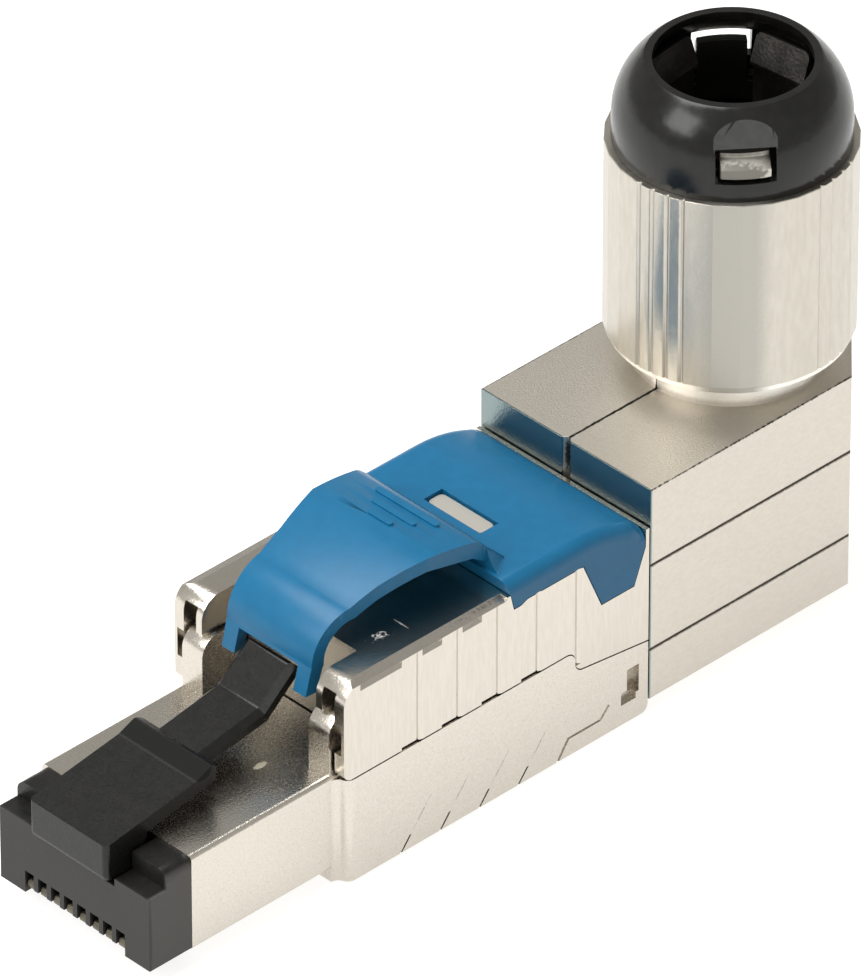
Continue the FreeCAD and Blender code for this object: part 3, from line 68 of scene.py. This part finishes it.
camera = bpy.data.objects.new("camera", bpy.data.cameras.new("camera"))
bpy.context.scene.collection.objects.link(camera)
camera.location = EYE
camera.rotation_mode = "QUATERNION"
camera.rotation_quaternion = BACKWARDS.to_track_quat("Z", "Y")
camera.data.sensor_width = SENSOR_WIDTH
camera.data.lens = FOCAL_PIXELS * SENSOR_WIDTH / FRAME_PIXELS
camera.data.clip_start, camera.data.clip_end = 0.05, 20
bpy.context.scene.camera = camera
bpy.context.scene.view_settings.view_transform = "Standard"
print("camera lens in millimetres:", round(camera.data.lens, 1))

# %% [markdown]
# Shiny metal has little colour of its own and shows the room, so the room is part of the finish. A
# picture of a studio could be wrapped round the scene, but a sky that only fades from one side to
# the other is enough: it is pale in front and to the left, and dimmer behind the plug, which is
# where the level faces look.

# %% Sky
SKY_COLOUR = (1.0, 0.985, 0.95, 1)
BEHIND = (0.66, 0.45, 0.6)
SKY_FADE = {"From Min": -0.1, "From Max": 0.85, "To Min": 0.62, "To Max": 0.42}

world = bpy.data.worlds.new("room")
world.use_nodes = True
bpy.context.scene.world = world
air = world.node_tree
sky = air.nodes["Background"]
sky.inputs["Color"].default_value = SKY_COLOUR
facing = air.nodes.new("ShaderNodeTexCoord")
toward = air.nodes.new("ShaderNodeVectorMath")
toward.operation = "DOT_PRODUCT"
toward.inputs[1].default_value = BEHIND
fade = air.nodes.new("ShaderNodeMapRange")
fade.interpolation_type = "SMOOTHSTEP"
for label, value in SKY_FADE.items():
    fade.inputs[label].default_value = value
air.links.new(facing.outputs["Generated"], toward.inputs[0])
air.links.new(toward.outputs["Value"], fade.inputs["Value"])
air.links.new(fade.outputs["Result"], sky.inputs["Strength"])
print("sky strength in front and behind:", SKY_FADE["To Min"], SKY_FADE["To Max"])

# %% [markdown]
# Three soft lamps do the rest. One strong lamp would give hard shadows, so each is a wide square:
# the largest, above and behind, gives the tops of the body and elbow their sheen, the left one
# draws the highlight on the black dome, and the weak one in front lifts the near sides.

# %% Lamps
AIM = Vector((0, 0, 0.01))
LAMPS = {"above": ((-0.1, 0.16, 0.58), 0.4, 3.4),
         "left": ((-0.5, 0.1, 0.36), 0.3, 1.5),
         "front": ((-0.3, -0.55, 0.25), 0.25, 0.5)}


def lamp(name, place, size, power):
    """A square area lamp at place that looks at AIM, with its size in metres and power in watts."""
    data = bpy.data.lights.new(name, "AREA")
    data.shape, data.size, data.energy = "SQUARE", size, power
    made = bpy.data.objects.new(name, data)
    bpy.context.scene.collection.objects.link(made)
    made.location = place
    made.rotation_mode = "QUATERNION"
    made.rotation_quaternion = (Vector(place) - AIM).to_track_quat("Z", "Y")


for name, (place, size, power) in LAMPS.items():
    lamp(name, place, size, power)
print("lamps:", list(LAMPS))

# %% [markdown]
# The plug stands on white paper. Lit paper alone would come out grey, and more lamps would burn out
# the metal, so the paper glows, but only for rays that come from the eye or from a mirror. The
# light that falls on the plug stays plain, and its shadow stays on the paper.

# %% Floor
FLOOR_HALF, FLOOR_HEIGHT = 3.0, -0.0002
PAPER_TONE, PAPER_GLOW, GLOW_STRENGTH = (0.42, 0.42, 0.42, 1), (1.0, 0.99, 0.975, 1), 0.8


def feed(tree, node, values):
    """Give the inputs of a node their values in order, each a socket to link or a number."""
    for socket, value in zip(node.inputs, values):
        if isinstance(value, float):
            socket.default_value = value
        else:
            tree.links.new(value, socket)


def add_math(tree, operation, *values, clamp=False):
    """The output of a new Math node that is fed with values."""
    made = tree.nodes.new("ShaderNodeMath")
    made.operation, made.use_clamp = operation, clamp
    feed(tree, made, values)
    return made.outputs["Value"]


def flat_sheet(name, half, height):
    """A level square of the given half width."""
    mesh = bpy.data.meshes.new(name)
    mesh.from_pydata([(-half, -half, height), (half, -half, height), (half, half, height),
                      (-half, half, height)], [], [(0, 1, 2, 3)])
    made = bpy.data.objects.new(name, mesh)
    bpy.context.scene.collection.objects.link(made)
    return made


floor = flat_sheet("floor", FLOOR_HALF, FLOOR_HEIGHT)
paper = bpy.data.materials.new("paper")
paper.use_nodes = True
weave = paper.node_tree
sheet = weave.nodes["Principled BSDF"]
sheet.inputs["Base Color"].default_value = PAPER_TONE
sheet.inputs["Roughness"].default_value = 1.0
sheet.inputs["Specular IOR Level"].default_value = 0.0
sheet.inputs["Emission Color"].default_value = PAPER_GLOW
rays = weave.nodes.new("ShaderNodeLightPath")
seen = add_math(weave, "ADD", rays.outputs["Is Camera Ray"], rays.outputs["Is Glossy Ray"])
seen = add_math(weave, "ADD", seen, rays.outputs["Is Transmission Ray"], clamp=True)
weave.links.new(add_math(weave, "MULTIPLY", seen, GLOW_STRENGTH), sheet.inputs["Emission Strength"])
floor.data.materials.append(paper)
print("floor half width:", FLOOR_HALF)

# %% [markdown]
# Three effects are used by more than one material, so each is a node group that is built once. The
# first is grain. Cast metal and moulded plastic are never quite smooth, and that could be carved
# into the mesh, but it is finer than any mesh should be. So noise tilts the normal instead.


# %% Grain
def new_group(name, inputs, outputs):
    """An empty shader node group; each input is (name, kind, default), each output (name, kind)."""
    group = bpy.data.node_groups.new(name, "ShaderNodeTree")
    for label, kind, default in inputs:
        socket = group.interface.new_socket(label, in_out="INPUT", socket_type=kind)
        socket.default_value = default
    for label, kind in outputs:
        group.interface.new_socket(label, in_out="OUTPUT", socket_type=kind)
    return group, group.nodes.new("NodeGroupInput"), group.nodes.new("NodeGroupOutput")


def grain_group():
    """Grain: noise in object coordinates, given as a value and as a bumped normal."""
    group, start, end = new_group(
        "grain", [("Scale", "NodeSocketFloat", 9000.0), ("Strength", "NodeSocketFloat", 0.3),
                  ("Depth", "NodeSocketFloat", 0.00002)],
        [("Value", "NodeSocketFloat"), ("Normal", "NodeSocketVector")])
    place = group.nodes.new("ShaderNodeTexCoord")
    noise = group.nodes.new("ShaderNodeTexNoise")
    noise.inputs["Detail"].default_value = 3.0
    bump = group.nodes.new("ShaderNodeBump")
    link = group.links.new
    link(place.outputs["Object"], noise.inputs["Vector"])
    link(start.outputs["Scale"], noise.inputs["Scale"])
    link(noise.outputs["Fac"], bump.inputs["Height"])
    link(start.outputs["Strength"], bump.inputs["Strength"])
    link(start.outputs["Depth"], bump.inputs["Distance"])
    link(noise.outputs["Fac"], end.inputs["Value"])
    link(bump.outputs["Normal"], end.inputs["Normal"])
    return group


GRAIN = grain_group()
print("group:", GRAIN.name)

# %% [markdown]
# The second is streaks. A plated surface changes tone a little from place to place, in clouds where
# it was cast and in lines where it was brushed. Both are one noise: scaled alike along all axes it
# gives clouds, and scaled less along one axis it gives lines that run that way.


# %% Streaks
def add_vector_math(tree, operation, *values):
    """A new Vector Math node that is fed with values."""
    made = tree.nodes.new("ShaderNodeVectorMath")
    made.operation = operation
    feed(tree, made, values)
    return made


def streak_group():
    """Streaks: noise of the place times Stretch, spread from Low and High to 0 and 1."""
    group, start, end = new_group(
        "streaks", [("Stretch", "NodeSocketVector", (5000.0, 5000.0, 250.0)),
                    ("Low", "NodeSocketFloat", 0.35), ("High", "NodeSocketFloat", 0.65)],
        [("Value", "NodeSocketFloat")])
    place = group.nodes.new("ShaderNodeTexCoord")
    scale = add_vector_math(group, "MULTIPLY", place.outputs["Object"], start.outputs["Stretch"])
    noise = group.nodes.new("ShaderNodeTexNoise")
    noise.inputs["Scale"].default_value = 1.0
    noise.inputs["Detail"].default_value = 2.0
    limits = group.nodes.new("ShaderNodeMapRange")
    link = group.links.new
    link(scale.outputs["Vector"], noise.inputs["Vector"])
    link(noise.outputs["Fac"], limits.inputs["Value"])
    link(start.outputs["Low"], limits.inputs["From Min"])
    link(start.outputs["High"], limits.inputs["From Max"])
    link(limits.outputs["Result"], end.inputs["Value"])
    return group


STREAKS = streak_group()
print("group:", STREAKS.name)

# %% [markdown]
# The third is the zone, a place whose tone or gloss differs from the rest of a piece, such as a dark
# seam, a pale edge or the inside of the nut. It could be painted on a picture, but a picture needs
# an unwrapped mesh. A zone is a rounded block of space with a torn edge instead, and whatever
# surface lies inside it takes the other tone.


# %% Zones
TEAR_SCALE = 5000.0


def zone_group():
    """Zone: 1 well inside an ellipsoid and 0 outside it.

    The place is first moved back along x by Lean times its height, so that a zone can lean. Its
    measure is the length of (place - Centre) / Half plus Ragged times noise. The zone ends where
    the measure is 1, and it is full where the measure is under 1 - Soft.
    """
    group, start, end = new_group(
        "zone", [("Centre", "NodeSocketVector", (0.0, 0.0, 0.0)),
                 ("Half", "NodeSocketVector", (1.0, 1.0, 1.0)), ("Soft", "NodeSocketFloat", 0.1),
                 ("Ragged", "NodeSocketFloat", 0.0), ("Lean", "NodeSocketFloat", 0.0)],
        [("Value", "NodeSocketFloat")])
    link = group.links.new
    place = group.nodes.new("ShaderNodeTexCoord").outputs["Object"]
    parts = group.nodes.new("ShaderNodeSeparateXYZ")
    aside = group.nodes.new("ShaderNodeCombineXYZ")
    link(place, parts.inputs["Vector"])
    link(add_math(group, "MULTIPLY", parts.outputs["Z"], start.outputs["Lean"]), aside.inputs["X"])
    upright = add_vector_math(group, "SUBTRACT", place, aside.outputs["Vector"])
    apart = add_vector_math(group, "SUBTRACT", upright.outputs["Vector"], start.outputs["Centre"])
    share = add_vector_math(group, "DIVIDE", apart.outputs["Vector"], start.outputs["Half"])
    length = add_vector_math(group, "LENGTH", share.outputs["Vector"])
    noise = group.nodes.new("ShaderNodeTexNoise")
    noise.inputs["Scale"].default_value = TEAR_SCALE
    noise.inputs["Detail"].default_value = 4.0
    link(place, noise.inputs["Vector"])
    measure = add_math(group, "MULTIPLY_ADD", noise.outputs["Fac"], start.outputs["Ragged"],
                       length.outputs["Value"])
    edge = group.nodes.new("ShaderNodeMapRange")
    edge.inputs["From Min"].default_value = 1.0
    link(measure, edge.inputs["Value"])
    link(add_math(group, "SUBTRACT", 1.0, start.outputs["Soft"]), edge.inputs["From Max"])
    link(edge.outputs["Result"], end.inputs["Value"])
    return group


ZONE = zone_group()
print("group:", ZONE.name)

# %% [markdown]
# A finish is then a few numbers for one recipe: a base colour that drifts between two tones, a
# roughness that follows the grain, the grain as the normal, and any zones laid over them in turn,
# so that a later zone covers an earlier one.


# %% Recipe of a finish
FINE_GRAIN = (6000.0, 0.35, 0.00003)


def add_group(tree, group, **values):
    """A group node in the tree with its inputs set."""
    made = tree.nodes.new("ShaderNodeGroup")
    made.node_tree = group
    for name, value in values.items():
        made.inputs[name].default_value = value
    return made


def mix_in(tree, mask, kind, below, above):
    """The socket of a mix from below to above by the mask; below is a socket or a number."""
    mix = tree.nodes.new("ShaderNodeMix")
    mix.data_type = kind
    mix.inputs["B"].default_value = above
    tree.links.new(mask.outputs["Value"], mix.inputs["Factor"])
    if isinstance(below, float):
        mix.inputs["A"].default_value = below
    else:
        tree.links.new(below, mix.inputs["A"])
    return mix.outputs["Result"]


def material(name, light, dark, rough, metallic=0.0, grain=(9000.0, 0.3, 0.00002), clouds=600.0,
             stretch=None, specular=0.5, zones=()):
    """Material that drifts from light to dark and from rough[0] to rough[1], with zones on it.

    The grain is its scale, strength and depth. Clouds is the scale of the drift along all axes, and
    stretch, where it is given, is its scale along each axis.
    """
    made = bpy.data.materials.new(name)
    made.use_nodes = True
    tree = made.node_tree
    shader = tree.nodes["Principled BSDF"]
    shader.inputs["Metallic"].default_value = metallic
    shader.inputs["Specular IOR Level"].default_value = specular
    bumps = add_group(tree, GRAIN, Scale=grain[0], Strength=grain[1], Depth=grain[2])
    drift = add_group(tree, STREAKS, Stretch=stretch or (clouds, clouds, clouds))
    tones = tree.nodes.new("ShaderNodeMix")
    tones.data_type = "RGBA"
    tones.inputs["A"].default_value = (*light, 1)
    tones.inputs["B"].default_value = (*dark, 1)
    gloss = tree.nodes.new("ShaderNodeMapRange")
    gloss.inputs["To Min"].default_value, gloss.inputs["To Max"].default_value = rough
    link = tree.links.new
    link(drift.outputs["Value"], tones.inputs["Factor"])
    link(bumps.outputs["Value"], gloss.inputs["Value"])
    tone, value, metal = tones.outputs["Result"], gloss.outputs["Result"], float(metallic)
    for place in zones:
        mask = add_group(tree, ZONE, **place["inputs"])
        tone = mix_in(tree, mask, "RGBA", tone, (*place["tone"], 1))
        value = mix_in(tree, mask, "FLOAT", value, place["rough"])
        if place["metal"] != metallic:
            metal = mix_in(tree, mask, "FLOAT", metal, place["metal"])
    if not isinstance(metal, float):
        link(metal, shader.inputs["Metallic"])
    link(tone, shader.inputs["Base Color"])
    link(value, shader.inputs["Roughness"])
    link(bumps.outputs["Normal"], shader.inputs["Normal"])
    return made


def zone(centre, half, tone, rough, soft=0.3, ragged=0.0, lean=0.0, metal=1.0):
    """A zone of a finish, with its centre and half sizes in millimetres of the frame."""
    return {"inputs": {"Centre": [value / 1000 for value in centre],
                       "Half": [value / 1000 for value in half],
                       "Soft": soft, "Ragged": ragged, "Lean": lean},
            "tone": tone, "rough": rough, "metal": metal}


print("fine grain:", FINE_GRAIN)

# %% [markdown]
# The base and cover are cast and nickel-plated. The photograph shows a beige smear beside the latch,
# dull slanted marks low on the side, dark lines along the top edges of the cover, a pale catch, and
# a bright patch with a line beside it under the blue tab. The dark lines are painted reflection on
# the rounded edges, and the pale catch is painted sheen. What the smear, the marks and the patch
# are is a guess, so each of their zones only takes the tone that is seen.

# %% Zones of base and cover
FAR, BOTH_SIDES = 1000.0, (-1, 1)
NICKEL_LIGHT, NICKEL_DARK = (0.63, 0.59, 0.525), (0.6, 0.56, 0.495)
MARK_FIRST, MARK_PITCH, MARK_COUNT, MARK_LEAN = -9.9, 2.93, 4, 0.8056

BASE_ZONES = [zone((-16.35, -2.45, 7.0), (0.65, 0.3, 0.3), (0.5, 0.46, 0.34), 0.8, 0.2, 0.5, metal=0.0)]
BASE_ZONES += [zone((MARK_FIRST + MARK_PITCH * place, 0, 1.95), (0.16, FAR, 1.9), (0.5, 0.47, 0.42), 0.7,
                    0.3, 1.0, lean=MARK_LEAN) for place in range(MARK_COUNT)]
# Painted reflection: dark lines along the rounded top edges of the cover.
COVER_ZONES = [zone((0, side * 6.15, 12.85), (13.0, 0.5, 0.35), (0.2, 0.187, 0.165), 0.42, 0.3, 0.9)
               for side in BOTH_SIDES]
# Painted sheen on the catch, then a bright patch and a line beside it under the blue tab.
COVER_ZONES += [zone((0.95, 0, 13.72), (1.2, 3.0, 0.3), (0.66, 0.635, 0.58), 0.5, 0.3),
                zone((-9.3, -4.3, 13.0), (1.9, 1.15, 0.5), (0.75, 0.74, 0.72), 0.5, 0.15, 1.6, metal=0.35),
                zone((-7.7, -4.3, 13.0), (0.09, 0.9, 0.4), (0.6, 0.59, 0.56), 0.5, 0.4, 0.5, metal=0.35)]
print("zones of the base and the cover:", len(BASE_ZONES), len(COVER_ZONES))

# %% [markdown]
# In the photograph the nut is bright round its foot and dull on its front flats, the lug in the
# window of the dome looks rough, and the elbow is bright round its collar and dark in its seams.
# The bright bands round the foot of the nut and the collar of the elbow are painted sheen, the
# darker front flats of the nut and the dark lug in each window are painted shade, and dark lines
# along the rounded top edges of the elbow are painted reflection. The front face of the elbow is
# dark blue there, most likely because the blue clip is mirrored in it. The mirror image alone came
# out too pale here, so a zone darkens and tints that metal to match, as painted reflection. It is a
# shortcut: real nickel has one colour, and under other light this face may stay too dark. The zones
# down the bores deepen their shade in the same way, as painted shade.

# %% Zones of nut and elbow
OUTLET = 21.325
# The first tone is the dark of the seams and also painted reflection on the top edges of the elbow, the
# second a darker line at each seam height, and the third painted sheen.
SEAM_DARK_AND_EDGE_REFLECTION, SEAM_LINE_TONE, PAINTED_SHEEN = (0.05, 0.047, 0.042), (0.27, 0.255, 0.225), (0.85, 0.82, 0.76)
SEAM_HEIGHTS = (3.95, 9.6)

# Painted sheen: the bright band round the foot of the nut.
NUT_ZONES = [zone((OUTLET, 0, 16.4), (FAR, FAR, 0.4), PAINTED_SHEEN, 0.4, 0.3, 0.3),
             # Painted shade: the darker front flats of the nut.
             zone((OUTLET - 4.85, -5.05, 22.0), (2.5, 2.5, FAR), (0.43, 0.415, 0.375), 0.5, 0.4, 0.2)]
# Painted shade: the dark lug in each window of the dome.
NUT_ZONES += [zone((OUTLET + side * 4.3, side * 4.45, 30.55), (2.8, 2.8, 0.8), (0.22, 0.21, 0.185), 0.6,
                   0.15, 0.6) for side in BOTH_SIDES]
NUT_ZONES += [zone((OUTLET, 0, 0), (5.77, 5.77, FAR), (0.03, 0.029, 0.026), 0.5, 0.01)]
ELBOW_ZONES = [zone((8.83, 0, 7.0), (0.1, FAR, FAR), (0.24, 0.3, 0.3), 0.25, 0.1),
               zone((8.95, 0, 13.5), (0.4, 0.3, 2.2), SEAM_DARK_AND_EDGE_REFLECTION, 0.6, 0.2, 0.4),
               # Painted sheen: the bright band round the collar of the elbow.
               zone((OUTLET, 0, 15.65), (FAR, FAR, 0.85), PAINTED_SHEEN, 0.35, 0.3, 0.2),
               zone((OUTLET, 0, 26.0), (4.5, 4.5, 12.5), (0.04, 0.038, 0.034), 0.5, 0.05),
               zone((14, 0, 14.7), (30.0, 0.2, 0.4), SEAM_DARK_AND_EDGE_REFLECTION, 0.6, 0.3, 0.8)]
# A darker line at each seam height.
ELBOW_ZONES += [zone((OUTLET, 0, height), (FAR, FAR, 0.22), SEAM_LINE_TONE, 0.6, 0.3, 1.15)
                for height in SEAM_HEIGHTS]
# Painted reflection: dark lines along the rounded top edges of the elbow.
ELBOW_ZONES += [zone((18, side * 6.62, 14.72), (60.0, 0.26, 0.25), SEAM_DARK_AND_EDGE_REFLECTION, 0.6, 0.3, 1.0)
                for side in BOTH_SIDES]
print("zones of the nut and the elbow:", len(NUT_ZONES), len(ELBOW_ZONES))

# %% [markdown]
# Black plastic is almost black, and what is seen of it is its gloss. The photograph shows no
# highlight on the crest of the latch, and a paler side and front of the nose. It can't be told
# whether that is its light or the plastic itself, so one matt zone and two pale ones take the tone
# that is seen. One matt zone takes the gloss off the crest, and two pale zones on the side and front
# of the nose are painted light. The far side of the nose isn't seen and stays plain.

# %% Zones of latch and nose
LATCH_ZONES = [zone((-21.0, 0, 9.2), (0.8, FAR, 0.6), (0.004, 0.0039, 0.0036), 0.9, 0.3, metal=0.0)]
# Painted light: the paler near side and front of the nose.
CAP_ZONES = [zone((-26, -6.1, 4), (10.0, 0.5, 10.0), (0.075, 0.0725, 0.067), 0.55, 0.4, metal=0.0),
             zone((-27.8, 0, 3), (0.4, 30.0, 4.5), (0.024, 0.023, 0.021), 0.5, 0.4, metal=0.0)]
print("zones of the latch and the nose:", len(LATCH_ZONES), len(CAP_ZONES))

# %% [markdown]
# With the zones in hand, each finish is one row of values. The metals differ in roughness and in the
# way their streaks run: upright on the nut and cover, lengthwise on the elbow, which also has a
# deeper grain. The plastics differ in gloss.

# %% Finishes
FINISHES = {
    "nickel": dict(light=NICKEL_LIGHT, dark=NICKEL_DARK, rough=(0.17, 0.34), metallic=1.0,
                   grain=(7000.0, 0.4, 0.00003), clouds=6000.0, zones=BASE_ZONES),
    "nut_nickel": dict(light=(0.56, 0.53, 0.47), dark=(0.52, 0.49, 0.43), rough=(0.26, 0.42),
                       metallic=1.0, grain=FINE_GRAIN, stretch=(3000.0, 3000.0, 700.0),
                       zones=NUT_ZONES),
    "elbow_nickel": dict(light=NICKEL_LIGHT, dark=NICKEL_DARK, rough=(0.34, 0.5), metallic=1.0,
                         grain=(9000.0, 0.6, 0.00004), stretch=(2500.0, 6000.0, 6000.0),
                         zones=ELBOW_ZONES),
    "cover_nickel": dict(light=(0.62, 0.58, 0.515), dark=(0.59, 0.55, 0.485), rough=(0.15, 0.3),
                         metallic=1.0, grain=FINE_GRAIN, stretch=(6000.0, 6000.0, 900.0),
                         zones=COVER_ZONES),
    "jaw_metal": dict(light=(0.14, 0.13, 0.12), dark=(0.08, 0.075, 0.07), rough=(0.3, 0.5),
                      metallic=1.0, grain=(5000.0, 0.5, 0.00004)),
    "black_plastic": dict(light=(0.005, 0.0049, 0.0045), dark=(0.008, 0.0078, 0.0072),
                          rough=(0.2, 0.42), grain=FINE_GRAIN, clouds=1500.0, specular=0.36,
                          zones=LATCH_ZONES),
    "dome_plastic": dict(light=(0.004, 0.0039, 0.0036), dark=(0.007, 0.0068, 0.0062),
                         rough=(0.14, 0.3), grain=(2500.0, 0.25, 0.00003), clouds=1500.0,
                         specular=0.4),
    "cap_plastic": dict(light=(0.007, 0.0068, 0.0062), dark=(0.011, 0.0107, 0.0098),
                        rough=(0.25, 0.45), grain=FINE_GRAIN, clouds=1500.0, specular=0.36,
                        zones=CAP_ZONES),
    "blue_plastic": dict(light=(0.0085, 0.129, 0.268), dark=(0.0075, 0.121, 0.25),
                         rough=(0.26, 0.4), grain=(6000.0, 0.2, 0.00002), clouds=1200.0,
                         specular=0.3),
    # Painted shade: the gold contacts darkened as they sit down in their slots.
    "contact_gold_painted_shade": dict(light=(0.16, 0.145, 0.11), dark=(0.1, 0.09, 0.07), rough=(0.3, 0.5),
                          metallic=1.0),
    "board": dict(light=(0.02, 0.13, 0.06), dark=(0.02, 0.1, 0.05), rough=(0.3, 0.5)),
    "terminal_plastic": dict(light=(0.7, 0.68, 0.62), dark=(0.62, 0.6, 0.55), rough=(0.4, 0.6)),
    "terminal_metal": dict(light=(0.6, 0.52, 0.36), dark=(0.5, 0.45, 0.33), rough=(0.25, 0.4),
                           metallic=1.0),
}
looks = {name: material(name, **values) for name, values in FINISHES.items()}
print("materials:", sorted(looks))

# %% [markdown]
# Every node has a material slot in the record, and most take the finish of that name. The cover,
# nut, elbow, dome, nose and contacts have a finish of their own, because their tone and gloss in
# the photograph differ from the rest. The contacts are gold, but look dark down in their slots, so
# their finish is gold darkened with painted shade.

# %% Finishes on the nodes
OWN_LOOKS = {"contact_carrier": "cap_plastic", "cover": "cover_nickel", "gland_dome": "dome_plastic",
             "clamp_nut": "nut_nickel", "elbow_left": "elbow_nickel", "elbow_right": "elbow_nickel",
             **{f"contact_{place}": "contact_gold_painted_shade" for place in range(1, 9)}}
record_slots = {row["node"]: row["material_slot"] for row in frame["record"]["subparts"]}
for name, node in nodes.items():
    for socket in node.material_slots:
        socket.material = looks[OWN_LOOKS.get(name, record_slots[name])]
print("nodes with a finish of their own:", len(OWN_LOOKS))

# %% [markdown]
# Cast and moulded parts have no knife edges, and a thin rounded edge is what catches the light. The
# rounding could be cut into the solids, but it is too small for them to need it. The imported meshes
# are split at their edges, so they are welded first and then bevelled.

# %% Rounded edges
WELD_DISTANCE, SHARP_ANGLE, EDGE_SEGMENTS = 1e-7, math.radians(35), 3
EDGES = {"base_housing": 0.00012, "cover": 0.00014, "elbow_left": 0.00015, "elbow_right": 0.00015,
         "contact_carrier": 0.00028, "latch_lever": 0.0003, "release_clip": 0.00014,
         "release_tab": 0.00014, "clamp_nut": 0.00006, "gland_dome": 0.0001, "clamp_jaws": 0.00006}


def round_edges(name, width):
    """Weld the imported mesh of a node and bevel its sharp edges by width."""
    node = nodes[name]
    weld = node.modifiers.new("weld", "WELD")
    weld.merge_threshold = WELD_DISTANCE
    bevel = node.modifiers.new("bevel", "BEVEL")
    bevel.width, bevel.segments = width, EDGE_SEGMENTS
    bevel.limit_method, bevel.angle_limit = "ANGLE", SHARP_ANGLE
    bevel.harden_normals = False


for name, width in EDGES.items():
    round_edges(name, width)
print("nodes with rounded edges:", len(EDGES))

# %% [markdown]
# The blue release is one moulding with a living hinge behind its ridge, but in the frame it is two
# solids with a slit between them, so that the tab can move. A new piece closes the slit: a skin with
# the section of the flank, a little proud of it.


# %% Hinge skin of the blue release
CLIP_FLAT, RIDGE_HALF, FLANK_REAR, FLANK_FOOT, FLANK_HEIGHT = 13.85, 4.64, -1.665, -0.275, 1.383
SKIN_PROUD, SKIN_THICK, SKIN_DEEP, SKIN_ENDS = 0.02, 0.05, 0.9, (-1.93, -1.52)


def flank(x):
    """Height of the ridge's rear flank: FLANK_HEIGHT above the clip at its top, falling evenly to 0."""
    return CLIP_FLAT + FLANK_HEIGHT * (x - FLANK_FOOT) / (FLANK_REAR - FLANK_FOOT)


def solid_of_rings(name, rings, smooth=False):
    """Closed mesh in blue through rings of equal length, in millimetres, with a face at each end."""
    count, size = rings.shape[:2]
    here = np.arange(size)
    ahead, low = np.roll(here, -1), size * np.arange(count - 1)[:, None]
    walls = np.stack([low + here, low + ahead, low + size + ahead, low + size + here], 2).reshape(-1, 4)
    ends = [here[::-1].tolist(), (here + size * (count - 1)).tolist()]
    mesh = bpy.data.meshes.new(name)
    mesh.from_pydata((rings.reshape(-1, 3) / 1000).tolist(), [], walls.tolist() + ends)
    mesh.polygons.foreach_set("use_smooth", [smooth] * len(walls) + [False, False])
    mesh.update()
    mesh.materials.append(looks["blue_plastic"])
    made = bpy.data.objects.new(name, mesh)
    bpy.context.scene.collection.objects.link(made)
    return made


def hinge_skin():
    """U-shaped skin: at each x its ring goes round the flank's section, SKIN_PROUD outside it."""
    x = np.linspace(*SKIN_ENDS, 7)[:, None]
    out = RIDGE_HALF + SKIN_PROUD
    inn = out - SKIN_THICK
    across = np.array([-out, -inn, -inn, inn, inn, out, out, -out])
    below = np.array([SKIN_DEEP, SKIN_DEEP, SKIN_THICK, SKIN_THICK, SKIN_DEEP, SKIN_DEEP, 0, 0])
    rings = np.broadcast_arrays(x, across, flank(x) + SKIN_PROUD - below)
    return solid_of_rings("hinge_skin", np.stack(rings, 2))


skin = hinge_skin()
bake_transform(skin)
print("faces of the skin:", len(skin.data.polygons))

# %% [markdown]
# At each end of the ridge the real moulding does not stop square: it runs out into the flat of the
# clip in a hollow curve. A subdivided cage could be pushed into that shape, but a formula gives it
# directly. Each section of the web falls along a parabola from the flank to the flat.


# %% Webs of the blue release
WEB_REACH, WEB_SUNK, WEB_SEAT = 0.75, 0.05, 0.02


def ridge_web(name, side):
    """Web at one end of the ridge, over a grid of x and a share s from 0 to 1.

    With h the height of the flank over the clip, it reaches WEB_REACH times h times s outwards, and
    its height over the clip is h times (1 - s) squared. Two points under the clip close each ring.
    """
    x = np.linspace(FLANK_REAR, FLANK_FOOT - WEB_SUNK, 14)[:, None]
    share = np.linspace(0, 1, 12)
    height = flank(x) - CLIP_FLAT
    out = RIDGE_HALF - WEB_SEAT + WEB_REACH * height * share
    up = CLIP_FLAT + height * (1 - share) ** 2
    out = np.concatenate([out, out[:, -1:], out[:, :1]], 1)
    up = np.concatenate([up, np.full((len(x), 2), CLIP_FLAT - WEB_SUNK)], 1)
    rings = np.stack(np.broadcast_arrays(x, side * out, up), 2)
    return solid_of_rings(name, rings if side > 0 else rings[:, ::-1], smooth=True)


for name, side in (("ridge_web_left", 1), ("ridge_web_right", -1)):
    web = ridge_web(name, side)
    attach(web, "plug")
    print(name, "faces:", len(web.data.polygons))

# %% [markdown]
# Last, the dressed part should have the same size as the bare one, because the finish adds nothing
# outside the solids.

# %% Finish
print("finished dressing the plug")
